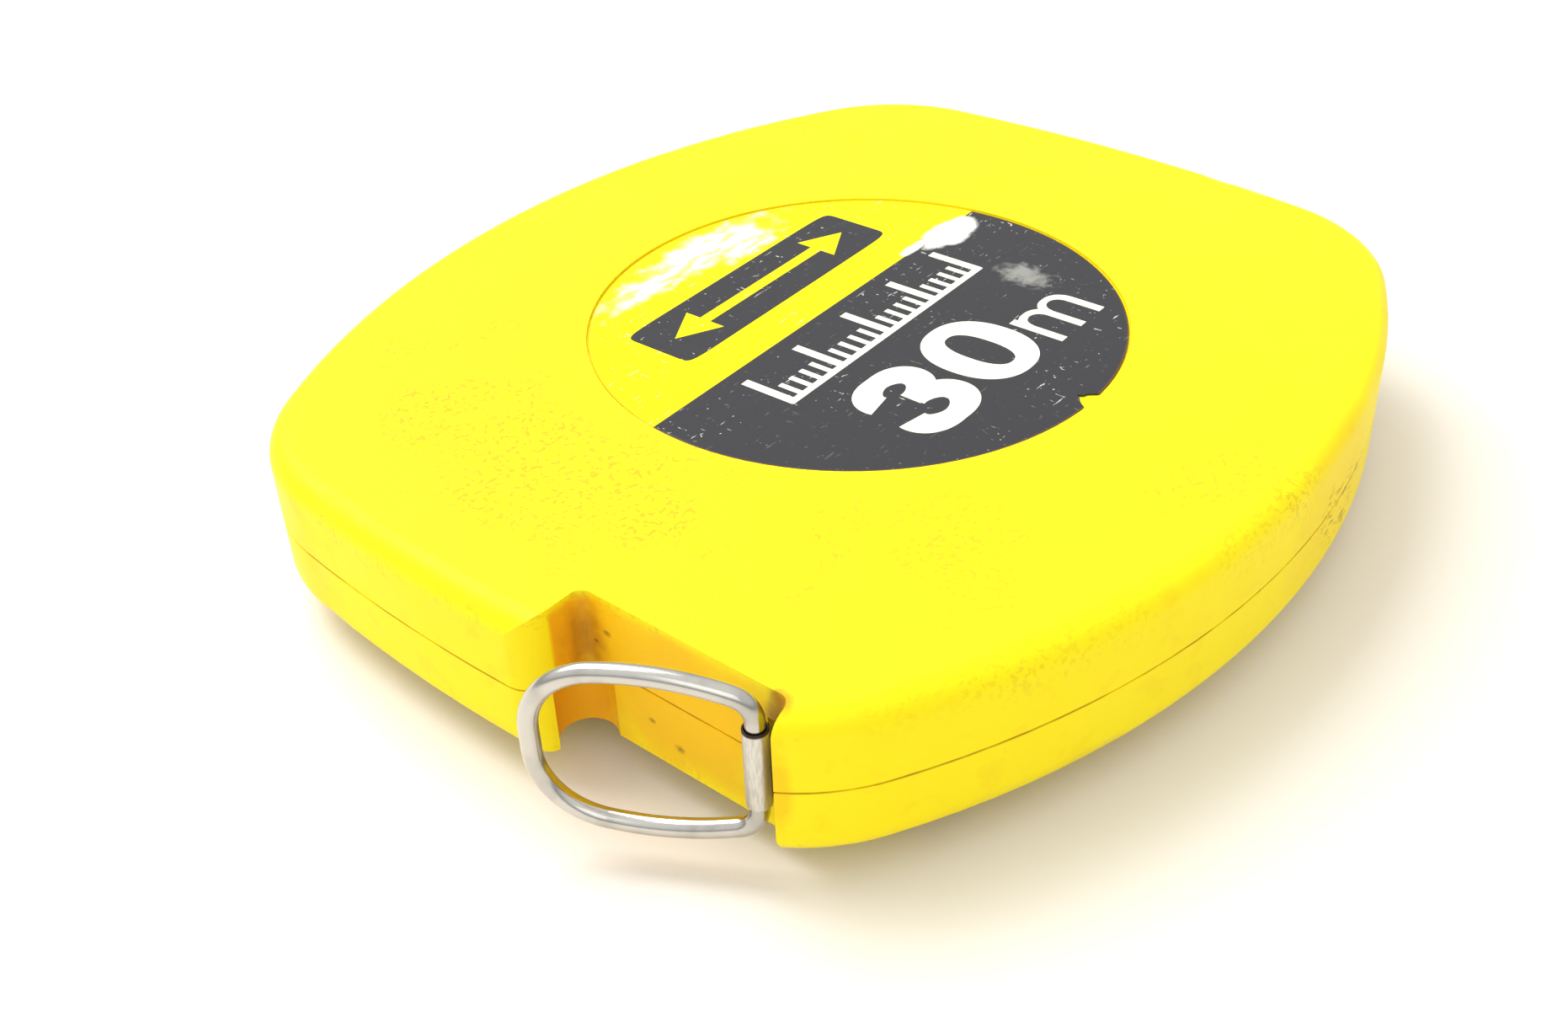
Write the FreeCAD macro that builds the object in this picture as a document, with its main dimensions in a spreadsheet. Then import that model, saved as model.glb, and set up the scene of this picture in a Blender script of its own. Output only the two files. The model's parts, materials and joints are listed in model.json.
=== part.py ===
import FreeCAD, Part
import os
import re
import Sketcher

# A closed-case long tape measure, lying crank side down.
# The origin is on the drum's axis, on the flat face of the crank hub that the tape stands on.
# +X and +Y are the length and width of the case, +Z points to the label side. Sizes in millimetres.

Vector = FreeCAD.Vector
UP = Vector(0, 0, 1)

SIZES = {
    # the case: a flat box with four bowed sides
    "case_length": 137.4,
    "case_width": 124.5,
    "case_thick": 19.2,
    "stand_off": 4.4,  # the crank hub holds the case this far off the table
    "side_bow": 8.27,  # how far the left and right sides bulge over half the width
    "end_bow": 23.76,  # the same for the near and far sides over half the length
    "corner_round": 24.2,
    "edge_round": 2.9,
    "wall": 2.2,
    "seam_rise": 9.35,  # height of the joint line above the case's underside
    "drum_shift_x": 2.4,  # the drum's axis sits this far from the case's middle
    "drum_shift_y": 1.3,
    # the notch in the left side that the pull ring folds into
    "notch_depth": 8.8,
    "notch_length": 29.3,
    "lip_distance": 39.6,
    "notch_round": 1.5,  # of the notch's inner corners
    "far_round": 3.6,  # of the outer corner at the notch's far end
    "lip_round": 1.5,  # of the outer corner at the lip
    "relief_radius": 3.4,  # thumb relief in the lower shell's notch corner
    "relief_from_wall": 2.5,
    "relief_from_end": 1.3,
    # the joint line: a fine groove outside, tongue and groove inside
    "joint_deep": 0.2,
    "joint_wide": 0.24,
    "tongue_thick": 0.8,
    "tongue_height": 1.0,
    "tongue_gap": 0.1,
    "tongue_root": 0.5,  # how far the tongue is rooted below the joint line
    # label in its shallow recess
    "label_size": 70.0,
    "label_gap": 0.3,
    "label_sink": 0.5,
    "label_thin": 0.3,
    # case screws and their posts
    "post_radius": 3.0,
    "post_reach": 17.2,  # from a corner's centre of curvature
    "mouth_post_inside": 15.2,  # the fourth post, from the notch wall and from the lip
    "mouth_post_past": 5.6,
    "screw_radius": 1.4,
    "screw_head": 2.7,
    "screw_head_thick": 1.8,
    "screw_gap": 0.2,
    "screw_short": 0.5,  # the screws stop this far before the end of their pilot holes
    "drive_reach": 1.6,
    "drive_half": 0.38,
    "drive_deep": 1.1,
    "well_depth": 3.4,
    "thread_reach": 6.0,
    # the blade and its coil
    "blade_wide": 9.5,
    "blade_thin": 0.2,
    "coil_radius": 50.0,  # distance of the blade's straight run from the drum's axis
    "coil_gap": 0.4,
    "core_radius": 30.0,
    "core_wall": 3.0,
    "disc_thin": 0.6,
    "disc_over": 1.2,
    "side_gap": 0.15,
    "web_thick": 2.0,
    "web_rise": 1.3,  # underside of the core's web above the blade's middle
    "key_wide": 2.0,
    "key_deep": 2.2,
    # bearings
    "journal_radius": 5.0,
    "journal_gap": 0.5,  # between the journal's end and the case
    "running_gap": 0.05,
    "bush_wall": 2.0,
    "boss_wall": 2.5,
    "bush_length": 3.3,
    "washer_wide": 3.0,
    "washer_thin": 0.5,
    "hub_bush_wall": 1.5,
    "hub_bush_length": 3.2,
    "collar_wall": 2.0,
    "collar_rise": 0.8,
    "guide_inset": 10.0,  # low ring ribs that keep the side discs straight
    "guide_wall": 1.2,
    "guide_gap": 0.35,
    # the crank hub
    "slip_gap": 0.1,
    "flange_radius": 36.0,
    "flange_thick": 3.0,
    "flange_bevel": 0.6,
    "thrust_gap": 0.3,  # between the thrust ring and the case
    "thrust_inset": 2.5,
    "hub_screw_reach": 17.0,
    "hub_screw_spread": 62.0,
    "hub_screw_sink": 9.0,
    # the folding crank, which lies along a chord of the hub's face
    "crank_turn": 35.0,
    "crank_offset": 10.0,
    "hinge_reach": 17.0,
    "knob_reach": 16.0,
    "arm_wide": 10.0,
    "arm_thick": 1.6,
    "arm_rise": 0.4,
    "arm_gap": 0.3,
    "eye_rise": 1.5,
    "eye_radius": 1.4,
    "pin_radius": 0.75,
    "pin_grip": 3.0,  # length of pin held in each cheek of the hub
    "leaf_long": 9.0,
    "leaf_wide": 6.0,
    "leaf_thin": 0.3,
    "leaf_rise": 0.2,
    "knob_radius": 5.5,
    "knob_height": 9.0,
    "knob_bevel": 0.6,
    "knob_shoulder": 0.8,
    "knob_waist": 0.5,
    "knob_washer_thin": 0.3,
    "knob_clearance": 0.4,
    "knob_swing": 1.2,  # the knob's top swings out this far as the arm lifts
    "stud_radius": 1.5,
    "stud_head": 2.8,
    "stud_head_thick": 0.8,
    # the blade's end: a sleeve folded round the pull ring
    "sleeve_out": 2.75,
    "sleeve_in": 2.6,
    "sleeve_length": 10.3,
    "sheet_thin": 0.25,
    "leaf_reach": 7.0,
    "leaf_height": 9.3,
    "rivet_radius": 0.8,
    "rivet_head": 1.4,
    "rivet_head_thick": 0.3,
    "rivet_reach": 4.6,
    "rivet_pitch": 4.6,
    "liner_wall": 0.3,
    "liner_play": 1.0,  # half the liner's inner width
    "liner_clear": 0.4,  # above and below the blade
    "liner_set": 0.6,  # the liner starts this far inside the notch wall
    "liner_length": 2.8,
    # the pull ring
    "ring_turn": 118.5,
    "ring_lift": 1.4,
    "wire_radius": 1.1,
    "ring_length": 23.75,
    "ring_half": 10.3,
    "ring_bow": 34.0,
    "ring_crest": 11.8,
    "ring_corner": 8.5,
    "ring_heel": 3.0,
}

# Places that several pieces share, as sums of the sizes above.
CASE_X = "(-drum_shift_x)"
CASE_Y = "(-drum_shift_y)"
SIDE_ROUND = "((case_width^2 / 4 + side_bow^2) / (2 * side_bow))"
END_ROUND = "((case_length^2 / 4 + end_bow^2) / (2 * end_bow))"
CASE_LOW = "stand_off"
CASE_TOP = "(stand_off + case_thick)"
SEAM = "(stand_off + seam_rise)"
FLOOR = "(stand_off + wall)"
CEILING = "(stand_off + case_thick - wall)"
MIDDLE = "(stand_off + case_thick / 2)"
NOTCH_X = "(notch_depth - case_length / 2 - drum_shift_x)"
LIP_Y = "(-lip_distance - drum_shift_y)"
NOTCH_END_Y = "(notch_length - lip_distance - drum_shift_y)"
RELIEF_X = f"({NOTCH_X} - relief_from_wall)"
RELIEF_Y = f"({NOTCH_END_Y} - relief_from_end)"
HINGE_X = f"({NOTCH_X} - sleeve_out)"
HINGE_Y = f"({LIP_Y} + sleeve_in)"
HINGE_AWAY = f"sqrt({HINGE_X}^2 + {HINGE_Y}^2)"
BLADE_TURN = f"(atan2(-{HINGE_Y}; -{HINGE_X}) - asin(coil_radius / {HINGE_AWAY}))"
BLADE_RUN = f"sqrt({HINGE_X}^2 + {HINGE_Y}^2 - coil_radius^2)"
DISC_RADIUS = "(coil_radius + disc_over)"
HALF_COIL = "(blade_wide / 2)"
DISC_LOW = f"({MIDDLE} - {HALF_COIL} - side_gap - disc_thin)"
DISC_HIGH = f"({MIDDLE} + {HALF_COIL} + side_gap)"
WEB_LOW = f"({MIDDLE} + web_rise)"
WEB_TOP = f"({WEB_LOW} + web_thick)"
BORE = "(core_radius - core_wall)"
SPIGOT = "(core_radius - core_wall / 2)"
HUB_RADIUS = f"({BORE} - slip_gap)"
HUB_BUSH_IN = f"({HUB_RADIUS} + running_gap)"
HUB_BUSH_OUT = f"({HUB_BUSH_IN} + hub_bush_wall)"
BUSH_IN = "(journal_radius + running_gap)"
BUSH_OUT = "(journal_radius + bush_wall)"
JOURNAL_TOP = f"({CEILING} - journal_gap)"
GUIDE_IN = "(coil_radius - guide_inset)"
GUIDE_OUT = f"({GUIDE_IN} + guide_wall)"
ARM_TOP = "(arm_rise + arm_thick)"
SLOT_WIDE = "(arm_wide + 2 * arm_gap)"
KNOB_LOW = f"({ARM_TOP} + knob_washer_thin)"
KNOB_TOP = f"({KNOB_LOW} + knob_height)"
SLEEVE_BORE = "(wire_radius + running_gap)"
SLEEVE_OUT = f"({SLEEVE_BORE} + sheet_thin)"
LEAF_HALF = "(blade_thin / 2 + sheet_thin)"
LINER_HALF = "(liner_play + liner_wall)"
LINER_IN_HEIGHT = "(blade_wide / 2 + liner_clear)"
LINER_HEIGHT = f"({LINER_IN_HEIGHT} + liner_wall)"
LINER_START = f"(sleeve_out / cos({BLADE_TURN}) + liner_set)"
EYE_ROOM = "(eye_radius + arm_gap)"
PIN_LONG = f"({SLOT_WIDE} + 2 * pin_grip)"
LEAF_START = f"(hinge_reach - {EYE_ROOM} - leaf_long)"
LEAF_LOW = f"({ARM_TOP} + arm_gap + leaf_rise)"
SCREW_TIGHT = "(screw_radius + running_gap)"
SCREW_LOOSE = "(screw_radius + screw_gap)"
HEAD_LOOSE = "(screw_head + screw_gap)"
BEYOND = 10.0  # how far a cutting block reaches past what it cuts
PAST = 1.0  # the same for a bore or a bed

document = FreeCAD.newDocument("long_tape")
sheet = document.addObject("Spreadsheet::Sheet", "Sizes")
for row, (alias, number) in enumerate(SIZES.items(), start=1):
    sheet.set(f"A{row}", alias)
    sheet.set(f"B{row}", str(number))
    sheet.setAlias(f"B{row}", alias)
document.recompute()


def full(text):
    """The expression with every size's name pointing at the sheet."""
    return re.sub(r"[a-z_]+[a-z]", lambda word: _cell(word.group()), str(text))


def _cell(word):
    return f"Sizes.{word}" if word in SIZES else word


def amount(text):
    """The number that an expression stands for now."""
    result = sheet.evalExpression(full(text))
    return float(getattr(result, "Value", result))


def bind(thing, **sizes):
    """Ties properties to expressions. A double underscore in a name stands for a point."""
    for name, text in sizes.items():
        thing.setExpression(name.replace("__", "."), full(text))
    return thing


def place(thing, x=0, y=0, z=0, turn=None):
    """Puts a piece at x, y, z, turned about +Z."""
    bind(thing, Placement__Base__x=x, Placement__Base__y=y, Placement__Base__z=z)
    if turn is not None:
        bind(thing, Placement__Rotation__Angle=turn)
    return thing


# ---- Part primitives and booleans ----


def cylinder(name, radius, height, x=0, y=0, z=0, facing=0):
    """An upright cylinder. Its seam line faces the angle given."""
    solid = document.addObject("Part::Cylinder", name)
    solid.Placement = FreeCAD.Placement(Vector(), FreeCAD.Rotation(UP, facing))
    bind(solid, Radius=radius, Height=height)
    return place(solid, x, y, z)


def crosswise(name, radius, length, x, z):
    """A cylinder along Y, centred on the XZ plane."""
    solid = document.addObject("Part::Cylinder", name)
    solid.Placement = FreeCAD.Placement(Vector(), FreeCAD.Rotation(Vector(1, 0, 0), -90))
    bind(solid, Radius=radius, Height=length)
    return place(solid, x, f"-({length}) / 2", z)


def block(name, long, wide, high, x, y, z):
    solid = document.addObject("Part::Box", name)
    bind(solid, Length=long, Width=wide, Height=high)
    return place(solid, x, y, z)


def fuse(name, *pieces):
    joined = document.addObject("Part::MultiFuse", name)
    joined.Shapes = list(pieces)
    return joined


def common(name, *pieces):
    shared = document.addObject("Part::MultiCommon", name)
    shared.Shapes = list(pieces)
    return shared


def cut(name, base, tool):
    rest = document.addObject("Part::Cut", name)
    rest.Base = base
    rest.Tool = tool
    return rest


def rounded(name, base, radius, wanted):
    """Fillets the edges of base that wanted(edge) accepts."""
    document.recompute()
    fillet = document.addObject("Part::Fillet", name)
    fillet.Base = base
    size = amount(radius)
    edges = enumerate(base.Shape.Edges, start=1)
    fillet.Edges = [(index, size, size) for index, edge in edges if wanted(edge)]
    return fillet


def is_upright(edge):
    return isinstance(edge.Curve, Part.Line) and abs(edge.Curve.Direction.z) > 0.99


def is_level(edge):
    return edge.BoundBox.ZLength < 0.001


def holder(name, piece, x, y, z, turn):
    """A copy of a local-frame piece in a compound that is placed and turned as one."""
    group = document.addObject("Part::Compound", name)
    group.Links = [piece]
    return place(group, x, y, z, turn)


# ---- PartDesign bodies ----


def new_body(label):
    body = document.addObject("PartDesign::Body", label)
    body.AllowCompound = True
    return body


def sketch_on(body, plane, name, rise=None):
    """A sketch on one of the body's own origin planes, raised along its normal."""
    sketch = body.newObject("Sketcher::SketchObject", name)
    features = body.Origin.OriginFeatures
    face = next(feature for feature in features if feature.Role == plane)
    sketch.AttachmentSupport = [(face, "")]
    sketch.MapMode = "FlatFace"
    if rise is not None:
        bind(sketch, AttachmentOffset__Base__z=rise)
    return sketch


def fix_point(sketch, shape, end, x, y):
    """Holds a point of a sketch at expressions x and y."""
    for kind, text in (("DistanceX", x), ("DistanceY", y)):
        rule = sketch.addConstraint(Sketcher.Constraint(kind, shape, end, amount(text)))
        sketch.setExpression(f"Constraints[{rule}]", full(text))


def fix_radius(sketch, shape, radius):
    rule = sketch.addConstraint(Sketcher.Constraint("Radius", shape, amount(radius)))
    sketch.setExpression(f"Constraints[{rule}]", full(radius))


def outline(sketch, corners):
    """A closed straight-sided outline through corners given as pairs of expressions."""
    points = [Vector(amount(x), amount(y), 0) for x, y in corners]
    first = sketch.GeometryCount
    count = len(points)
    for index, point in enumerate(points):
        sketch.addGeometry(Part.LineSegment(point, points[(index + 1) % count]))
    for index, (x, y) in enumerate(corners):
        here = first + index
        after = first + (index + 1) % count
        sketch.addConstraint(Sketcher.Constraint("Coincident", here, 2, after, 1))
        fix_point(sketch, here, 1, x, y)


def rectangle(sketch, left, right, low, high):
    outline(sketch, [(left, low), (right, low), (right, high), (left, high)])


def circle(sketch, x, y, radius):
    middle = Vector(amount(x), amount(y), 0)
    shape = sketch.addGeometry(Part.Circle(middle, UP, amount(radius)))
    fix_point(sketch, shape, 3, x, y)
    fix_radius(sketch, shape, radius)


def feature(body, kind, sketch, name, **sizes):
    made = body.newObject(f"PartDesign::{kind}", name)
    made.Profile = sketch
    bind(made, **sizes)
    return made


def turned(label, corners):
    """A body of revolution about +Z, from its half section as (radius, height) corners."""
    body = new_body(label)
    section = sketch_on(body, "XZ_Plane", f"{label}_section")
    outline(section, corners)
    made = body.newObject("PartDesign::Revolution", f"{label}_turn")
    made.Profile = section
    made.ReferenceAxis = (section, ["V_Axis"])
    made.Angle = 360
    return body


def ring_of(label, inner, outer, low, high):
    """A plain turned ring."""
    return turned(label, [(inner, low), (outer, low), (outer, high), (inner, high)])


# ---- the case ----


def barrel(name, inset, low, high):
    """A prism with the case's bowed plan, drawn in all round by inset."""
    tall = f"({high}) - ({low})"
    sides = [
        ("right", 180, f"{CASE_X} + case_length / 2 - {SIDE_ROUND}", CASE_Y, SIDE_ROUND),
        ("left", 0, f"{CASE_X} - case_length / 2 + {SIDE_ROUND}", CASE_Y, SIDE_ROUND),
        ("far", 0, CASE_X, f"{CASE_Y} + case_width / 2 - {END_ROUND}", END_ROUND),
        ("near", 0, CASE_X, f"{CASE_Y} - case_width / 2 + {END_ROUND}", END_ROUND),
    ]
    rounds = [
        cylinder(f"{name}_{side}", f"{bow} - ({inset})", tall, x, y, low, facing)
        for side, facing, x, y, bow in sides
    ]
    plan = common(f"{name}_plan", *rounds)
    return rounded(name, plan, f"corner_round - ({inset})", is_upright)


def notch_block(name, extra):
    """The block that the notch takes out of the left side, larger all round by extra."""
    deep = f"notch_depth + ({extra}) + {BEYOND}"
    long = f"notch_length + 2 * ({extra})"
    left = f"{NOTCH_X} + ({extra}) - ({deep})"
    solid = block(f"{name}_block", deep, long, f"case_thick + {2 * BEYOND}", left,
                  f"{LIP_Y} - ({extra})", f"stand_off - {BEYOND}")
    inner = amount(f"{NOTCH_X} + ({extra})")

    def at_wall(edge):
        return is_upright(edge) and abs(edge.BoundBox.XMax - inner) < 0.01

    return rounded(name, solid, f"notch_round + ({extra})", at_wall)


def corner_nib(name, wall_y, inward, radius, extra):
    """What a rounded outer corner loses: the corner's square less a cylinder that touches
    the notch's end wall and the case's side. The case lies on the side of inward (1 or -1)."""
    outer = f"({radius} - ({extra}))"
    middle_y = f"({wall_y} + {inward} * {radius})"
    side_x = f"({CASE_X} - case_length / 2 + {SIDE_ROUND})"
    reach = f"sqrt(({SIDE_ROUND} - {radius})^2 - ({middle_y} - {CASE_Y})^2)"
    middle_x = f"({side_x} - {reach})"
    tall = f"case_thick + {2 * BEYOND}"
    low = f"stand_off - {BEYOND}"
    near_y = middle_y if inward < 0 else f"{wall_y} - {BEYOND / 2}"
    square = block(f"{name}_square", f"{radius} + {BEYOND}", f"{radius} + {BEYOND / 2}", tall,
                   f"{middle_x} - {radius} - {BEYOND}", near_y, low)
    return cut(name, square, cylinder(f"{name}_round", outer, tall, middle_x, middle_y, low))


def notch_tool(name, extra):
    """The whole of what the notch removes, its rounded outer corners included."""
    far = corner_nib(f"{name}_far", NOTCH_END_Y, 1, "far_round", extra)
    lip = corner_nib(f"{name}_lip", LIP_Y, -1, "lip_round", extra)
    return fuse(name, notch_block(f"{name}_main", extra), far, lip)


def joint_groove():
    """The fine groove that the joint line leaves in the outer walls."""
    wide = f"case_length + {2 * BEYOND}"
    corner = f"-(case_length) / 2 - {2 * BEYOND}"
    low = f"{SEAM} - joint_wide / 2"
    slab = block("joint_slab", wide, wide, "joint_wide", corner, corner, low)
    core = barrel("joint_core", "joint_deep", f"{low} - {PAST}", f"{low} + joint_wide + {PAST}")
    return cut("joint_groove", slab, cut("joint_kept", core, notch_tool("joint_notch", "joint_deep")))


def corner_centre():
    """Centre of curvature of the far right corner, from the case's middle."""
    side, end, corner = amount(SIDE_ROUND), amount(END_ROUND), amount("corner_round")
    side_middle = Vector(amount("case_length / 2") - side, 0, 0)
    end_middle = Vector(0, amount("case_width / 2") - end, 0)
    arcs = [
        Part.Circle(side_middle, UP, side - corner),
        Part.Circle(end_middle, UP, end - corner),
    ]
    return max((Vector(p.X, p.Y, 0) for p in arcs[0].intersect(arcs[1])), key=lambda p: p.x + p.y)


def post_places():
    """(x, y) of the four screw posts: three corners, and one beside the mouth."""
    centre = corner_centre()
    out = centre * ((centre.Length + amount("post_reach")) / centre.Length)
    places = [(sx * out.x, sy * out.y) for sx, sy in ((1, 1), (-1, 1), (1, -1))]
    corners = [(f"{CASE_X} + {x}", f"{CASE_Y} + {y}") for x, y in places]
    beside_mouth = (f"{NOTCH_X} + mouth_post_inside", f"{LIP_Y} - mouth_post_past")
    return corners + [beside_mouth]


def uprights(name, radius, height, z):
    """One cylinder at each screw post."""
    return [
        cylinder(f"{name}_{index}", radius, height, x, y, z)
        for index, (x, y) in enumerate(post_places())
    ]


def tube(name, inner, outer, low, high):
    tall = f"({high}) - ({low})"
    hole = cylinder(f"{name}_hole", inner, f"{tall} + {2 * PAST}", z=f"({low}) - {PAST}")
    return cut(name, cylinder(f"{name}_outside", outer, tall, z=low), hole)


def shell_halves():
    """The hollow case with its notch, cut in two along the joint line."""
    prism = barrel("case_prism", 0, CASE_LOW, CASE_TOP)
    outside = rounded("case_outside", prism, "edge_round", is_level)
    inside = barrel("case_inside", "wall", FLOOR, CEILING)
    room = cut("case_room", inside, notch_block("notch_walls", "wall"))
    notched = cut("case_notched", outside, fuse("outer_cuts", notch_tool("notch", 0), joint_groove()))
    hollow = cut("case_hollow", notched, room)
    wide = f"case_length + {2 * BEYOND}"
    corner = f"-(case_length) / 2 - {2 * BEYOND}"
    upper = block("upper_half", wide, wide, "case_thick", corner, corner, SEAM)
    lower = block("lower_half", wide, wide, "seam_rise", corner, corner, CASE_LOW)
    return common("top_wall", hollow, upper), common("bottom_wall", hollow, lower)


def tongue(name, gap):
    """The band that stands in the joint line's groove, thicker and taller by gap."""
    outer = f"(wall - tongue_thick) / 2 - {gap}"
    inner = f"(wall + tongue_thick) / 2 + {gap}"
    low = f"{SEAM} - tongue_root"
    high = f"{SEAM} + tongue_height + {gap}"
    band = cut(f"{name}_band", barrel(f"{name}_outer", outer, low, high),
               barrel(f"{name}_inner", inner, f"{low} - {PAST}", f"{high} + {PAST}"))
    return cut(name, band, notch_block(f"{name}_end", f"wall * 2 - {gap}"))


def mouth_slot(name):
    """The slot through the notch wall that the blade's liner sits in."""
    slot = block(f"{name}_block", "leaf_reach", f"2 * {LINER_HALF}", f"2 * {LINER_HEIGHT}",
                 "sleeve_out / 2", f"-{LINER_HALF}", f"-{LINER_HEIGHT}")
    return holder(name, slot, HINGE_X, HINGE_Y, MIDDLE, BLADE_TURN)


def case_top(wall_half):
    """Label-side shell: bearing boss, disc guide, screw posts, label recess, groove and slot."""
    boss_low = f"{CEILING} - bush_length"
    boss = cylinder("top_boss", f"{BUSH_OUT} + boss_wall", "bush_length + wall / 2", z=boss_low)
    guide_low = f"{DISC_HIGH} + disc_thin + guide_gap"
    guide = tube("top_guide", GUIDE_IN, GUIDE_OUT, guide_low, f"{CEILING} + wall / 2")
    posts = uprights("top_post", "post_radius", f"{CEILING} + wall / 2 - {SEAM}", SEAM)
    solid = fuse("top_solid", wall_half, boss, guide, *posts)
    recess = cylinder("label_recess", "label_size / 2 + label_gap", f"label_sink + {PAST}",
                      z=f"{CASE_TOP} - label_sink")
    bore = cylinder("top_bore", BUSH_OUT, "bush_length", z=boss_low)
    pilots = uprights("pilot", SCREW_TIGHT, "thread_reach", SEAM)
    cuts = fuse("top_cuts", recess, bore, tongue("groove", "tongue_gap"), mouth_slot("top_slot"), *pilots)
    return cut("case_top", solid, cuts)


def case_bottom(wall_half):
    """Crank-side shell: hub opening with its collar, screw wells, thumb relief and tongue."""
    posts = uprights("low_post", "post_radius", f"{SEAM} - {FLOOR} + wall / 2", f"{FLOOR} - wall / 2")
    guide_top = f"{DISC_LOW} - guide_gap"
    guide = tube("low_guide", GUIDE_IN, GUIDE_OUT, f"{FLOOR} - wall / 2", guide_top)
    collar = cylinder("collar", f"{HUB_BUSH_OUT} + collar_wall", "wall / 2 + collar_rise",
                      z=f"{FLOOR} - wall / 2")
    backing = cylinder("relief_backing", "relief_radius + wall", "seam_rise - wall / 2", RELIEF_X, RELIEF_Y,
                       f"{FLOOR} - wall / 2")
    inner_backing = cut("relief_wall", backing, notch_tool("relief_limit", 0))
    solid = fuse("low_solid", wall_half, guide, collar, inner_backing, tongue("tongue", 0), *posts)
    opening = cylinder("hub_opening", HUB_BUSH_OUT, "2 * case_thick", z=f"{CASE_LOW} - case_thick")
    relief = cylinder("relief", "relief_radius", f"seam_rise + {BEYOND}", RELIEF_X, RELIEF_Y,
                      f"{CASE_LOW} - {BEYOND}")
    wells = uprights("well", HEAD_LOOSE, f"well_depth + {PAST}", f"{CASE_LOW} - {PAST}")
    holes = uprights("screw_hole", SCREW_LOOSE, "case_thick", CASE_LOW)
    cuts = fuse("low_cuts", opening, relief, mouth_slot("low_slot"), *wells, *holes)
    return cut("case_bottom", solid, cuts)


def case_screws():
    """Four pan-head screws, driven from the crank side."""
    body = new_body("case_screws")
    seat = f"{CASE_LOW} + well_depth"
    places = post_places()
    shanks = sketch_on(body, "XY_Plane", "screw_shanks", seat)
    for x, y in places:
        circle(shanks, x, y, "screw_radius")
    shank_long = f"{SEAM} + thread_reach - screw_short - ({seat})"
    feature(body, "Pad", shanks, "screw_shank_pad", Length=shank_long)
    heads = sketch_on(body, "XY_Plane", "screw_heads", f"{seat} - screw_head_thick")
    for x, y in places:
        circle(heads, x, y, "screw_head")
    feature(body, "Pad", heads, "screw_head_pad", Length="screw_head_thick")
    drives = sketch_on(body, "XY_Plane", "screw_drives", f"{seat} - screw_head_thick")
    for x, y in places:
        cross(drives, x, y, "drive_reach", "drive_half")
    deep = feature(body, "Pocket", drives, "screw_drive_cut", Length="drive_deep")
    deep.Reversed = True
    return body


def cross(sketch, x, y, reach, half):
    """A twelve-sided cross centred on x, y."""
    steps = [(1, 2), (1, 1), (2, 1), (2, -1), (1, -1), (1, -2),
             (-1, -2), (-1, -1), (-2, -1), (-2, 1), (-1, 1), (-1, 2)]
    spans = {1: half, 2: reach, -1: f"-({half})", -2: f"-({reach})"}
    outline(sketch, [(f"{x} + ({spans[i]})", f"{y} + ({spans[j]})") for i, j in steps])


def label_disc():
    """The round printed label."""
    return cylinder("label_disc", "label_size / 2", "label_thin", z=f"{CASE_TOP} - label_sink")


def axle_bush():
    """Bearing bush for the drum's upper journal, pressed into the top shell's boss."""
    return ring_of("axle_bush", BUSH_IN, BUSH_OUT, f"{CEILING} - bush_length", CEILING)


def hub_bush():
    """Bearing ring in the crank-side opening."""
    return ring_of("hub_bush", HUB_BUSH_IN, HUB_BUSH_OUT, CASE_LOW, f"{CASE_LOW} + hub_bush_length")


def mouth_liner():
    """Sheet-steel sleeve that lines the slot the blade runs through."""
    body = new_body("mouth_liner")
    section = sketch_on(body, "YZ_Plane", "liner_section", LINER_START)
    rectangle(section, f"-{LINER_HALF}", LINER_HALF, f"-{LINER_HEIGHT}", LINER_HEIGHT)
    rectangle(section, "-liner_play", "liner_play", f"-{LINER_IN_HEIGHT}", LINER_IN_HEIGHT)
    feature(body, "Pad", section, "liner_pad", Length="liner_length")
    return place(body, HINGE_X, HINGE_Y, MIDDLE, BLADE_TURN)


# ---- the drum ----


def drum_core():
    """The spool: a barrel with a web, an upper journal and a keyway for the blade's inner end."""
    core_low = f"{DISC_LOW} + disc_thin"
    core_top = DISC_HIGH
    top = f"({DISC_HIGH} + disc_thin)"
    body = turned("drum_core", [
        (BORE, DISC_LOW), (SPIGOT, DISC_LOW), (SPIGOT, core_low), ("core_radius", core_low),
        ("core_radius", core_top), (SPIGOT, core_top), (SPIGOT, top), (BORE, top),
        (BORE, WEB_TOP), ("journal_radius", WEB_TOP), ("journal_radius", JOURNAL_TOP),
        ("0", JOURNAL_TOP), ("0", WEB_LOW), (BORE, WEB_LOW),
    ])
    keyway = sketch_on(body, "XY_Plane", "keyway", DISC_LOW)
    rectangle(keyway, "core_radius - key_deep", f"core_radius + {PAST}", "-key_wide / 2", "key_wide / 2")
    keyway_cut = feature(body, "Pocket", keyway, "keyway_cut", Length=f"{top} - {DISC_LOW}")
    keyway_cut.Reversed = True
    pilots = sketch_on(body, "XY_Plane", "hub_pilots", WEB_LOW)
    for x, y in hub_screw_places():
        circle(pilots, x, y, SCREW_TIGHT)
    pilot_cut = feature(body, "Pocket", pilots, "hub_pilot_cut", Length="web_thick")
    pilot_cut.Reversed = True
    return body


def hub_screw_places():
    """(x, y) of the three screws that hold the crank hub to the core."""
    angles = [f"crank_turn - 90 + {step} * hub_screw_spread" for step in (-1, 0, 1)]
    return [(f"hub_screw_reach * cos({a})", f"hub_screw_reach * sin({a})") for a in angles]


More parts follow.
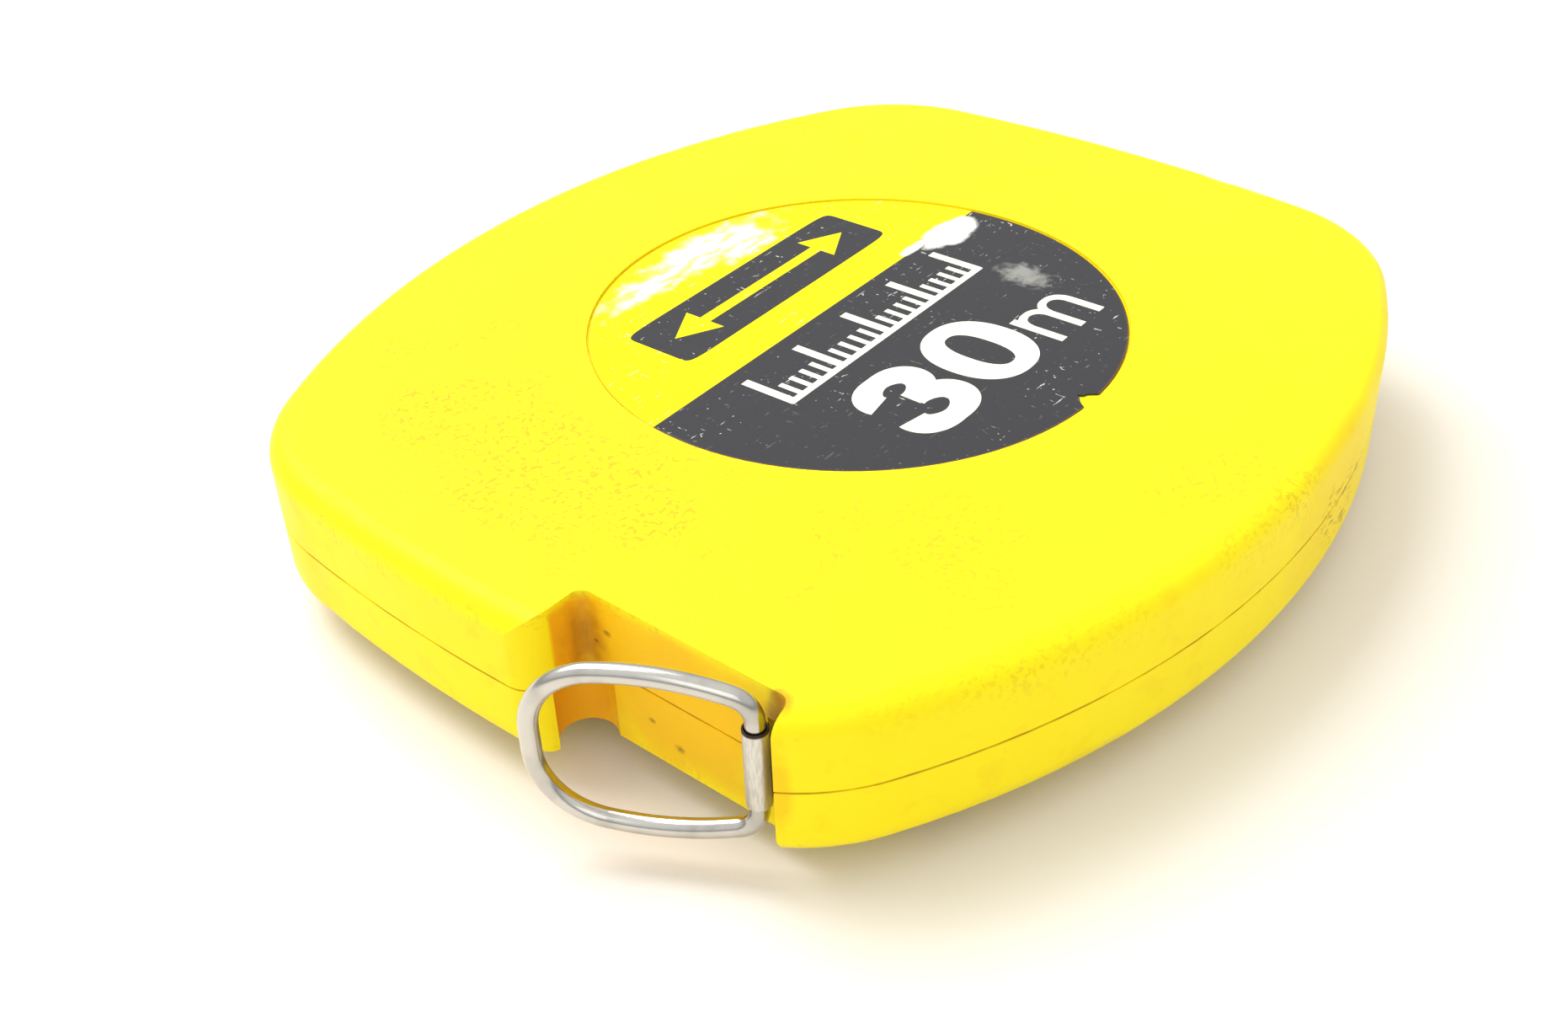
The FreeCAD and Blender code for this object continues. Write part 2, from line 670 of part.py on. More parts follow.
def blade_key():
    """The wedge that locks the blade's folded inner end into the core."""
    body = new_body("blade_key")
    plan = sketch_on(body, "XY_Plane", "key_plan", f"{DISC_LOW} + disc_thin")
    half = "(key_wide / 2 - running_gap)"
    rectangle(plan, "core_radius - key_deep + running_gap", "core_radius", f"-{half}", half)
    feature(body, "Pad", plan, "key_pad", Length=f"{DISC_HIGH} - {DISC_LOW} - disc_thin")
    return body


def coil_disc(label, low):
    """A thin disc that keeps the coil's edges straight."""
    return ring_of(label, f"{SPIGOT} + running_gap", DISC_RADIUS, low, f"{low} + disc_thin")


def blade_coil():
    """The wound blade, as one ring from the core to the last turn."""
    inner = "core_radius + running_gap"
    outer = "coil_radius - coil_gap"
    return ring_of("blade_coil", inner, outer, f"{MIDDLE} - {HALF_COIL}", f"{MIDDLE} + {HALF_COIL}")


def spring_washer():
    """Springy washer round the journal that gives the drum its drag."""
    return ring_of("spring_washer", "journal_radius + slip_gap", "journal_radius + washer_wide",
                   WEB_TOP, f"{WEB_TOP} + washer_thin")


def thrust_ring():
    """Slippery ring between the hub's flange and the case."""
    inner = f"{HUB_RADIUS} + slip_gap"
    top = f"{CASE_LOW} - thrust_gap"
    return ring_of("thrust_ring", inner, "flange_radius - thrust_inset", "flange_thick", top)


def crank_room():
    """The chord-wise bed that the folded crank lies in, with its eye, knob, leaf and pin."""
    side = f"crank_offset - {SLOT_WIDE} / 2"
    far = f"flange_radius + {PAST}"
    low = f"-{PAST}"
    bed_deep = f"{ARM_TOP} + arm_gap + {PAST}"
    bed = block("crank_bed", f"{far} + hinge_reach", SLOT_WIDE, bed_deep, f"-({far})", side, low)
    run_out = block("crank_run_out", f"{far} - hinge_reach", SLOT_WIDE, f"flange_thick + {PAST}",
                    "hinge_reach", side, low)
    eye_bed = block("eye_bed", f"2 * {EYE_ROOM}", SLOT_WIDE, f"eye_rise + {EYE_ROOM} + {PAST}",
                    f"hinge_reach - {EYE_ROOM}", side, low)
    leaf_deep = f"{LEAF_LOW} + leaf_thin + {PAST}"
    leaf_bed = block("leaf_bed", "leaf_long", "leaf_wide + 2 * running_gap", leaf_deep,
                     LEAF_START, "crank_offset - leaf_wide / 2 - running_gap", low)
    well_deep = f"{KNOB_TOP} + knob_clearance + {PAST}"
    wells = [
        cylinder(f"knob_well_{index}", "knob_radius + knob_clearance", well_deep,
                 f"-knob_reach - {shift}", "crank_offset", low)
        for index, shift in enumerate(("0", "knob_swing"))
    ]
    pin_hole = crosswise("hinge_hole", "pin_radius", PIN_LONG, "hinge_reach", "eye_rise")
    bind(pin_hole, Placement__Base__y=f"crank_offset - {PIN_LONG} / 2")
    group = fuse("crank_room", bed, run_out, eye_bed, leaf_bed, pin_hole, *wells)
    return holder("crank_room_turned", group, 0, 0, 0, "crank_turn")


def crank_hub():
    """The hub that the tape stands on: flange, barrel, and the bed of the crank."""
    blank = turned("hub_blank", [
        ("0", "0"), ("flange_radius - flange_bevel", "0"), ("flange_radius", "flange_bevel"),
        ("flange_radius", "flange_thick"), (HUB_RADIUS, "flange_thick"), (HUB_RADIUS, WEB_LOW),
        ("0", WEB_LOW),
    ])
    screw_room = []
    for index, (x, y) in enumerate(hub_screw_places()):
        sink = cylinder(f"hub_sink_{index}", HEAD_LOOSE, f"hub_screw_sink + {PAST}", x, y, f"-{PAST}")
        hole = cylinder(f"hub_hole_{index}", SCREW_LOOSE, "case_thick", x, y, "0")
        screw_room.extend((sink, hole))
    return cut("crank_hub", blank, fuse("hub_cuts", crank_room(), *screw_room))


def hub_screws():
    """Three screws that hold the hub to the drum's core."""
    body = new_body("hub_screws")
    shanks = sketch_on(body, "XY_Plane", "hub_shanks", "hub_screw_sink")
    heads = sketch_on(body, "XY_Plane", "hub_heads", "hub_screw_sink - screw_head_thick")
    for x, y in hub_screw_places():
        circle(shanks, x, y, "screw_radius")
        circle(heads, x, y, "screw_head")
    feature(body, "Pad", shanks, "hub_shank_pad", Length=f"{WEB_TOP} - hub_screw_sink")
    feature(body, "Pad", heads, "hub_head_pad", Length="screw_head_thick")
    drives = sketch_on(body, "XY_Plane", "hub_drives", "hub_screw_sink - screw_head_thick")
    for x, y in hub_screw_places():
        cross(drives, x, y, "drive_reach", "drive_half")
    deep = feature(body, "Pocket", drives, "hub_drive_cut", Length="drive_deep")
    deep.Reversed = True
    return body


# ---- the folding crank ----


def crank_arm():
    """Steel strip with a rolled eye at the hinge and a hole for the knob's stud."""
    half = "arm_wide / 2"
    plate = block("arm_plate", "hinge_reach + knob_reach", "arm_wide", "arm_thick", "-knob_reach",
                  f"crank_offset - {half}", "arm_rise")
    tip = cylinder("arm_tip", half, "arm_thick", "-knob_reach", "crank_offset", "arm_rise")
    eye = crosswise("arm_eye", "eye_radius", "arm_wide", "hinge_reach", "eye_rise")
    bind(eye, Placement__Base__y=f"crank_offset - {half}")
    bore = crosswise("arm_bore", "pin_radius + running_gap", f"arm_wide + {2 * PAST}",
                     "hinge_reach", "eye_rise")
    bind(bore, Placement__Base__y=f"crank_offset - {half} - {PAST}")
    through = f"arm_thick + {2 * PAST}"
    stud_hole = cylinder("stud_hole", "stud_radius", through, "-knob_reach", "crank_offset",
                         f"arm_rise - {PAST}")
    arm = cut("arm_cut", fuse("arm_solid", plate, tip, eye), fuse("arm_holes", bore, stud_hole))
    return holder("crank_arm", arm, 0, 0, 0, "crank_turn")


def crank_pin():
    """Hinge pin, pressed into the hub's cheeks."""
    pin = crosswise("pin_rod", "pin_radius", PIN_LONG, "hinge_reach", "eye_rise")
    bind(pin, Placement__Base__y=f"crank_offset - {PIN_LONG} / 2")
    return holder("crank_pin", pin, 0, 0, 0, "crank_turn")


def crank_leaf():
    """Leaf spring over the arm that holds it folded or open."""
    leaf = block("leaf_strip", "leaf_long", "leaf_wide", "leaf_thin", LEAF_START,
                 "crank_offset - leaf_wide / 2", LEAF_LOW)
    return holder("crank_leaf", leaf, 0, 0, 0, "crank_turn")


KNOB_X = "(-knob_reach * cos(crank_turn) - crank_offset * sin(crank_turn))"
KNOB_Y = "(crank_offset * cos(crank_turn) - knob_reach * sin(crank_turn))"


def knob_stud():
    """Shouldered rivet that the knob turns on."""
    head_top = f"{KNOB_TOP} - stud_head_thick"
    head_low = f"{KNOB_TOP} - 2 * stud_head_thick"
    body = turned("knob_stud", [
        ("0", "arm_rise"), ("stud_radius", "arm_rise"), ("stud_radius", head_low),
        ("stud_head", head_low), ("stud_head", head_top), ("0", head_top),
    ])
    return place(body, KNOB_X, KNOB_Y)


def knob_washer():
    """Washer between the arm and the knob."""
    outer = f"knob_radius - {PAST}"
    body = ring_of("knob_washer", "stud_radius + running_gap", outer, ARM_TOP, KNOB_LOW)
    return place(body, KNOB_X, KNOB_Y)


def crank_knob():
    """The knob that turns under the fingers."""
    seat = f"{KNOB_TOP} - 2 * stud_head_thick - running_gap"
    bore = "stud_radius + running_gap"
    rim = "knob_radius - knob_bevel"
    body = turned("crank_knob", [
        (bore, f"{KNOB_LOW} + running_gap"), (rim, f"{KNOB_LOW} + running_gap"),
        ("knob_radius", f"{KNOB_LOW} + knob_shoulder"),
        ("knob_radius - knob_waist", f"{KNOB_LOW} + knob_height / 2"),
        ("knob_radius", f"{KNOB_TOP} - knob_shoulder"), (rim, KNOB_TOP),
        ("stud_head + slip_gap", KNOB_TOP), ("stud_head + slip_gap", seat), (bore, seat),
    ])
    return place(body, KNOB_X, KNOB_Y)


# ---- the blade's end and the pull ring ----


def blade_lead():
    """The blade's straight run from the coil to the sleeve at its end."""
    body = new_body("blade_lead")
    face = sketch_on(body, "XZ_Plane", "blade_face")
    rectangle(face, SLEEVE_OUT, BLADE_RUN, f"-{HALF_COIL}", HALF_COIL)
    feature(body, "Pad", face, "blade_pad", Length="blade_thin").Midplane = True
    holes = sketch_on(body, "XZ_Plane", "blade_holes")
    for z in ("-rivet_pitch / 2", "rivet_pitch / 2"):
        circle(holes, "rivet_reach", z, "rivet_radius")
    feature(body, "Pocket", holes, "blade_hole_cut", Length="blade_thin * 4").Midplane = True
    return place(body, HINGE_X, HINGE_Y, MIDDLE, BLADE_TURN)


def end_sleeve():
    """Steel sheet folded round the ring's wire and riveted to both faces of the blade."""
    roll = cylinder("sleeve_roll", SLEEVE_OUT, "sleeve_length", z="ring_lift - sleeve_length / 2")
    leaves = block("sleeve_leaves", "leaf_reach", f"2 * {LEAF_HALF}", "leaf_height", "0",
                   f"-{LEAF_HALF}", "-leaf_height / 2")
    low = "-case_thick / 2"
    bore = cylinder("sleeve_bore", SLEEVE_BORE, "case_thick", z=low)
    gap = block("sleeve_gap", f"leaf_reach + {PAST}", "blade_thin", "case_thick",
                SLEEVE_OUT, "-blade_thin / 2", low)
    holes = [
        crosswise(f"sleeve_hole_{index}", "rivet_radius", f"2 * {LEAF_HALF} + {2 * PAST}", "rivet_reach", z)
        for index, z in enumerate(("-rivet_pitch / 2", "rivet_pitch / 2"))
    ]
    folded = cut("sleeve_cut", fuse("sleeve_solid", roll, leaves), fuse("sleeve_room", bore, gap, *holes))
    return holder("end_sleeve", folded, HINGE_X, HINGE_Y, MIDDLE, BLADE_TURN)


def end_rivets():
    """Two rivets through the sleeve's leaves and the blade."""
    rivets = []
    for index, z in enumerate(("-rivet_pitch / 2", "rivet_pitch / 2")):
        shank = crosswise(f"rivet_shank_{index}", "rivet_radius", f"2 * {LEAF_HALF}", "rivet_reach", z)
        near = crosswise(f"rivet_near_{index}", "rivet_head", "rivet_head_thick", "rivet_reach", z)
        bind(near, Placement__Base__y=f"-{LEAF_HALF} - rivet_head_thick")
        away = crosswise(f"rivet_away_{index}", "rivet_head", "rivet_head_thick", "rivet_reach", z)
        bind(away, Placement__Base__y=LEAF_HALF)
        rivets.append(fuse(f"rivet_{index}", shank, near, away))
    group = document.addObject("Part::Compound", "end_rivets")
    group.Links = rivets
    return place(group, HINGE_X, HINGE_Y, MIDDLE, BLADE_TURN)


def arc_between(middle, start, end):
    """The shorter arc about middle from start to end, as a sketch arc and its end numbers."""
    first = start - middle
    last = end - middle
    counter = first.cross(last).z > 0
    begin, finish = (first, last) if counter else (last, first)
    up = Vector(1, 0, 0)
    angles = [up.getAngle(v) * (1 if v.y >= 0 else -1) for v in (begin, finish)]
    arc = Part.ArcOfCircle(Part.Circle(middle, UP, first.Length), *angles)
    return arc, (1, 2) if counter else (2, 1)


def ring_half_path(sketch):
    """Upper half of the ring's centre line: hinge bar, heel, bowed bar, corner, free bar."""
    names = ("ring_length", "ring_half", "ring_bow", "ring_crest", "ring_corner", "ring_heel")
    long, half, bow, crest, corner, heel = (amount(name) for name in names)
    bow_middle = Vector(crest, half - bow, 0)

    def inside(x, radius):
        """Centre of a circle that touches the bowed bar from inside, at this x."""
        return Vector(x, bow_middle.y + ((bow - radius) ** 2 - (x - crest) ** 2) ** 0.5, 0)

    heel_middle = inside(heel, heel)
    corner_middle = inside(long - corner, corner)
    touch_heel = bow_middle + (heel_middle - bow_middle).normalize() * bow
    touch_corner = bow_middle + (corner_middle - bow_middle).normalize() * bow
    hinge_top = Vector(0, heel_middle.y, 0)
    free_top = Vector(long, corner_middle.y, 0)
    sketch.addGeometry(Part.LineSegment(Vector(), hinge_top))
    bends = [
        arc_between(heel_middle, hinge_top, touch_heel),
        arc_between(bow_middle, touch_heel, touch_corner),
        arc_between(corner_middle, touch_corner, free_top),
    ]
    for arc, _ in bends:
        sketch.addGeometry(arc)
    sketch.addGeometry(Part.LineSegment(free_top, Vector(long, 0, 0)))
    ends = [(1, 2)] + [pair for _, pair in bends] + [(1, 2)]
    for index in range(4):
        rule = Sketcher.Constraint("Tangent", index, ends[index][1], index + 1, ends[index + 1][0])
        sketch.addConstraint(rule)
    for line in (0, 4):
        sketch.addConstraint(Sketcher.Constraint("Vertical", line))
    for shape, radius in ((1, "ring_heel"), (2, "ring_bow"), (3, "ring_corner")):
        fix_radius(sketch, shape, radius)
    fix_point(sketch, 2, 3, "ring_crest", "ring_half - ring_bow")
    fix_point(sketch, 0, 1, "0", "0")
    fix_point(sketch, 4, 2, "ring_length", "0")


def end_ring():
    """The pull ring: round wire bent to a bowed rectangle, mirrored about its middle."""
    body = new_body("end_ring")
    path = sketch_on(body, "XZ_Plane", "ring_path")
    ring_half_path(path)
    wire = sketch_on(body, "XY_Plane", "ring_wire")
    circle(wire, "0", "0", "wire_radius")
    pipe = body.newObject("PartDesign::AdditivePipe", "ring_pipe")
    pipe.Profile = wire
    pipe.Spine = (path, [f"Edge{index}" for index in range(1, 6)])
    document.recompute()
    mirror = body.newObject("PartDesign::Mirrored", "ring_mirror")
    mirror.Originals = [pipe]
    planes = body.Origin.OriginFeatures
    mirror.MirrorPlane = (next(plane for plane in planes if plane.Role == "XY_Plane"), [""])
    body.Tip = mirror
    return place(body, HINGE_X, HINGE_Y, f"{MIDDLE} + ring_lift", "ring_turn")


def build():
    """Every piece of the tape, in the order it goes together."""
    top_wall, bottom_wall = shell_halves()
    return [
        case_bottom(bottom_wall),
        case_top(top_wall),
        case_screws(),
        label_disc(),
        axle_bush(),
        hub_bush(),
        mouth_liner(),
        drum_core(),
        blade_key(),
        blade_coil(),
        coil_disc("coil_disc_upper", DISC_HIGH),
        coil_disc("coil_disc_lower", DISC_LOW),
        spring_washer(),
        thrust_ring(),
        crank_hub(),
        hub_screws(),
        crank_pin(),
        crank_leaf(),
        crank_arm(),
        knob_stud(),
        knob_washer(),
        crank_knob(),
        blade_lead(),
        end_sleeve(),
        end_rivets(),
        end_ring(),
    ]


def check(pieces):
    """Stops if any object failed, or a piece's shape is empty or broken."""
    failed = [thing.Label for thing in document.Objects if {"Invalid", "Error"} & set(thing.State)]
    empty = [piece.Label for piece in pieces if piece.Shape.isNull() or not piece.Shape.Solids]
    broken = [piece.Label for piece in pieces if not piece.Shape.isValid()]
    if failed or empty or broken:
        raise RuntimeError(f"failed {failed}, empty {empty}, broken {broken}")


pieces = build()
document.recompute()
check(pieces)
os.makedirs("parts", exist_ok=True)
for piece in pieces:
    piece.Shape.exportStep(f"parts/{piece.Label}.step")
    box = piece.Shape.BoundBox
    print(f"{piece.Label}: {len(piece.Shape.Solids)} solids, {piece.Shape.Volume:.1f} mm3, "
          f"z {box.ZMin:.2f} to {box.ZMax:.2f}")
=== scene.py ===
# %% [markdown]
# # A closed-case long tape measure
# The tape is a flat yellow case of two moulded shells. A steel blade is wound on a drum inside it, and
# ends in a folded sheet sleeve that a wire pull ring swings in. A crank folds out of the hub below it.
# The packed model already holds every piece at its true size. This lesson adds the surfaces: grained
# plastic, a worn paper label with its print, nickel plate, lacquered blade, and a plain studio.

# %% Load the packed model
import json
import math

import bmesh
import bpy
import numpy as np
from mathutils import Matrix, Vector


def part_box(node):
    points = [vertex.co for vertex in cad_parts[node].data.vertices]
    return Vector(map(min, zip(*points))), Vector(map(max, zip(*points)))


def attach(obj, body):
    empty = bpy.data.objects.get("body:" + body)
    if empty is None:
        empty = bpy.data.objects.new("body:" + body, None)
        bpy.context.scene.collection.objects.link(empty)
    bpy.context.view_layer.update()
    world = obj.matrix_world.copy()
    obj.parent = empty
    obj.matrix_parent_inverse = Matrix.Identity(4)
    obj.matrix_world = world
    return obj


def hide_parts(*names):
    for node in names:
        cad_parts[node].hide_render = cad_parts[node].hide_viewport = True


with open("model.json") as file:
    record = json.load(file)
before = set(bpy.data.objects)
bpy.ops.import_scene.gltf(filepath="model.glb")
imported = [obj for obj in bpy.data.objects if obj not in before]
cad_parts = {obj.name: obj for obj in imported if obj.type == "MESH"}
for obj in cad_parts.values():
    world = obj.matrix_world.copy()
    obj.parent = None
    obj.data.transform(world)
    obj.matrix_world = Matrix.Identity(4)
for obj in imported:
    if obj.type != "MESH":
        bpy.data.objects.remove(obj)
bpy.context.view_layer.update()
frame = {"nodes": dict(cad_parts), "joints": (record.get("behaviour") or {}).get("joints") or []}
nodes = frame["nodes"]
joints = {joint["name"]: joint for joint in frame["joints"]}
MM = 0.001
print("nodes:", len(nodes), "joints:", sorted(joints))

# %% [markdown]
# ## Camera
# A camera can be turned by angles, but three axes are easier to reason about: where its back points,
# where its right hand points, and where its top points. It aims at a point under the label's left half.

# %% Camera
LENS = 41.22
SENSOR = 36.0
AIM = Vector((-17.45, -1.29, 4.08)) * MM
DISTANCE = 234.3 * MM
BEARING = math.radians(-138.5)
HEIGHT = math.radians(35.51)
ROLL = math.radians(-2.6)


def camera_axes(bearing, height, roll):
    """Right, top and back of a camera that stands at that bearing and height and is rolled."""
    level = math.cos(height)
    back = Vector((math.cos(bearing) * level, math.sin(bearing) * level, math.sin(height)))
    right = Vector((0, 0, 1)).cross(back).normalized()
    top = back.cross(right)
    right, top = (
        right * math.cos(roll) + top * math.sin(roll),
        top * math.cos(roll) - right * math.sin(roll),
    )
    return right, top, back


right, top, back = camera_axes(BEARING, HEIGHT, ROLL)
view = bpy.data.cameras.new("view")
view.lens = LENS
view.sensor_width = SENSOR
camera = bpy.data.objects.new("view", view)
turned = Matrix((right, top, back)).transposed().to_4x4()
camera.matrix_world = Matrix.Translation(AIM + back * DISTANCE) @ turned
bpy.context.scene.collection.objects.link(camera)
bpy.context.scene.camera = camera
print("camera at", [round(value, 4) for value in camera.matrix_world.translation])

# %% [markdown]
# ## Words for finishes
# A finish is one Principled shader with a few patterns in front of it. Writing every node by hand hides
# the idea, so a small class gives the patterns short names: noise of a real size, a ragged patch at a
# place, a ramp between two values, a mix of two colours. All patterns read Object coordinates, which
# here are metres in the tape's own frame, so a stain can be put exactly where it belongs.


# %% Finish: a material with short words for its patterns
class Finish:
    """A Principled material whose patterns read Object coordinates."""

    def __init__(self, name, **plain):
        self.material = bpy.data.materials.new(name)
        self.material.use_nodes = True
        self.tree = self.material.node_tree
        self.shader = self.tree.nodes["Principled BSDF"]
        self.place = self.add("TexCoord").outputs["Object"]
        for socket, value in plain.items():
            self.set(socket.replace("_", " ").title().replace("Ior", "IOR"), value)

    def give(self, socket, value):
        """Links a node's output to a socket, or stores a plain value in it."""
        if isinstance(value, bpy.types.NodeSocket):
            self.tree.links.new(value, socket)
        else:
            socket.default_value = value

    def set(self, socket, value):
        """Gives one of the Principled shader's sockets a value or a pattern."""
        self.give(self.shader.inputs[socket], value)

    def add(self, kind, inputs=None, **settings):
        """A new shader node of that kind, with its settings and inputs filled in."""
        node = self.tree.nodes.new("ShaderNode" + kind)
        for name, value in settings.items():
            setattr(node, name, value)
        for socket, value in (inputs or {}).items():
            self.give(node.inputs[socket], value)
        return node

    def maths(self, operation, first, second=0.0):
        """One sum or comparison of two numbers."""
        return self.add("Math", {0: first, 1: second}, operation=operation).outputs[0]

    def vector(self, operation, first, second=(0, 0, 0)):
        """One sum of two vectors, which gives a vector, a length or a dot product."""
        node = self.add("VectorMath", {0: first, 1: second}, operation=operation)
        return node.outputs["Value" if operation in ("LENGTH", "DOT_PRODUCT") else "Vector"]

    def ramp(self, value, start, end):
        """0 where value is at start, 1 where it is at end, smooth between."""
        inputs = {"Value": value, "From Min": start, "From Max": end}
        return self.add("MapRange", inputs, interpolation_type="SMOOTHSTEP").outputs["Result"]

    def noise(self, size, detail=3.0, stretch=(1, 1, 1), shift=0.0):
        """Cloudy noise whose blobs are about that many metres across, longer along small stretch."""
        inputs = {"Vector": self.place, "Scale": stretch, "Location": (shift, shift, shift)}
        mapped = self.add("Mapping", inputs).outputs["Vector"]
        inputs = {"Vector": mapped, "Scale": 1 / size, "Detail": detail}
        return self.add("TexNoise", inputs).outputs["Fac"]

    def cells(self, size):
        """Distance to the middle of a random cell: small bumps about that many metres across."""
        return self.add("TexVoronoi", {"Vector": self.place, "Scale": 1 / size}).outputs["Distance"]

    def patch(self, middle, reach, ragged=0.5, size=1.5 * MM, firm=0.6):
        """1 inside an ellipsoid about middle, 0 outside, with a border torn by noise."""
        from_middle = self.vector("SUBTRACT", self.place, middle)
        away = self.vector("LENGTH", self.vector("DIVIDE", from_middle, reach))
        torn = self.maths("MULTIPLY", self.maths("SUBTRACT", self.noise(size, 5.0), 0.5), ragged * 2)
        return self.ramp(self.maths("ADD", away, torn), 1.0, firm)

    def mix(self, amount, first, second):
        """The first colour where amount is 0, the second where it is 1."""
        colours = [c if isinstance(c, bpy.types.NodeSocket) else (*c, 1.0) for c in (first, second)]
        node = self.add("Mix", {0: amount, 6: colours[0], 7: colours[1]}, data_type="RGBA")
        return node.outputs[2]

    def bump(self, height, depth, strength=1.0):
        """Lets height, 0 to 1, raise the surface by up to depth metres in the light's eyes."""
        inputs = {"Height": height, "Distance": depth, "Strength": strength}
        self.set("Normal", self.add("Bump", inputs).outputs["Normal"])

    def axis(self, name):
        """The surface's own X, Y or Z, in metres."""
        return self.add("SeparateXYZ", {0: self.place}).outputs[name]


print("Finish has", len([name for name in vars(Finish) if not name.startswith("_")]), "words")

# %% [markdown]
# ## Yellow case
# The case is moulded plastic with a fine pebbled grain. Years in a tool bag have left dirt in the grain,
# a smudge, scuffs on one side, and orange grease in the notch that the ring lies in. An image could be
# painted for it, but a mark made of an ellipsoid with a border torn by noise needs no unwrapping and
# stays sharp close up. The marks are laid over the yellow one after another.

# %% Places on the case
SEAM_RISE = 9.35 * MM  # joint line over the lower shell's underside
HINGE_TO_WALL = 2.75 * MM  # ring's hinge to the notch's long wall
HINGE_TO_LIP = 2.6 * MM  # ring's hinge to the lip beside the blade's mouth
NOTCH_LONG = 29.3 * MM  # lip to the notch's far, short wall
SHORT_WALL_FLAT = 5.2 * MM  # flat part of that short wall, from the long wall's line
ring_hinge = Vector(joints["ring_swing"]["pos_m"])
pull = Vector(joints["blade_pull"]["axis"])
CASE_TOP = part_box("case_top")[1].z
CASE_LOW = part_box("case_bottom")[0].z
SEAM = CASE_LOW + SEAM_RISE
NOTCH_X = ring_hinge.x + HINGE_TO_WALL
LIP_Y = ring_hinge.y - HINGE_TO_LIP
FAR_Y = LIP_Y + NOTCH_LONG
SHORT_WALL_END = NOTCH_X - SHORT_WALL_FLAT
print("case from z", round(CASE_LOW, 4), "to", round(CASE_TOP, 4))

# %% Paints, and a coat to lay them on
YELLOW = (0.96, 0.79, 0.008)
DEEP_YELLOW = (0.93, 0.71, 0.007)
GREASE = (0.82, 0.36, 0.008)
AMBER = (0.92, 0.52, 0.008)
OLIVE = (0.30, 0.19, 0.015)
RUST = (0.42, 0.17, 0.008)
BROWN = (0.30, 0.13, 0.03)
DARK = (0.07, 0.035, 0.02)


def at(x, y, z):
    """A point given in millimetres."""
    return (x * MM, y * MM, z * MM)


class Coat:
    """A colour that grows as one paint after another is laid over it."""

    def __init__(self, finish, colour):
        self.finish = finish
        self.colour = colour

    def lay(self, paint, amount, *masks):
        """Lays paint where every mask is 1, as strongly as amount says."""
        mask = masks[0]
        for other in masks[1:]:
            mask = self.finish.maths("MULTIPLY", mask, other)
        self.colour = self.finish.mix(self.finish.maths("MULTIPLY", mask, amount), self.colour, paint)


print("paints:", len((YELLOW, DEEP_YELLOW, GREASE, AMBER, OLIVE, RUST, BROWN, DARK)))

# %% Dirt and smudges on the faces
DIRT = (  # middle, reach, amount
    (at(-48, 8, 23), at(30, 46, 8), 0.55),
    (at(-34, -40, 23), at(34, 26, 8), 0.35),
    (at(-4, -56, 22), at(18, 12, 8), 0.4),
    (at(-30, 42, 23), at(34, 22, 8), 0.35),
    (at(40, 40, 23), at(30, 26, 8), 0.25),
    (at(0, 0, 4), at(90, 90, 4), 0.5),
)


def lay_dirt(finish, coat):
    """Olive specks in six broad areas, two smudges, a faint rub all over, and scuffs on one side."""
    specks = finish.ramp(finish.noise(0.7 * MM, 2.0), 0.53, 0.60)
    for middle, reach, amount in DIRT:
        area = finish.patch(middle, reach, ragged=0.45, size=9 * MM, firm=0.2)
        coat.lay(OLIVE, amount, specks, area)
    smudge = finish.patch(at(-31, 36, 23.6), at(13, 8, 4), ragged=0.5, size=3 * MM, firm=0.0)
    coat.lay(GREASE, 0.34, smudge)
    faint_smudge = finish.patch(at(-50, 22, 23.6), at(12, 16, 4), ragged=0.6, size=4 * MM, firm=0.0)
    coat.lay(GREASE, 0.12, faint_smudge)
    rub = finish.ramp(finish.noise(3.5 * MM, 4.0), 0.54, 0.7)
    coat.lay(GREASE, 0.10, rub)
    lines = finish.ramp(finish.noise(0.9 * MM, 4.0, stretch=(0.5, 0.5, 2.2)), 0.575, 0.62)
    near_right = finish.patch(at(14, -61, 13), at(11, 5, 6), ragged=0.4, size=4 * MM)
    coat.lay(DARK, 0.55, lines, near_right)


print("areas of dirt:", len(DIRT))

# %% Grease in the notch
SPOTS = (  # middle, size in millimetres
    ((NOTCH_X, FAR_Y - 0.2 * MM, 17.9 * MM), 0.55),
    ((NOTCH_X, FAR_Y - 1.6 * MM, 17.0 * MM), 0.35),
    ((NOTCH_X, FAR_Y - 3.4 * MM, 18.9 * MM), 0.6),
    ((NOTCH_X, FAR_Y - 9.1 * MM, 9.6 * MM), 0.5),
    ((NOTCH_X, FAR_Y - 13.0 * MM, 7.6 * MM), 0.7),
    ((NOTCH_X, FAR_Y - 6.0 * MM, 14.6 * MM), 0.3),
    (at(-64, -42.6, 20.8), 0.5),
    (at(-64, -42.4, 9.6), 0.4),
    (at(-64, -42.4, 6.4), 0.5),
)


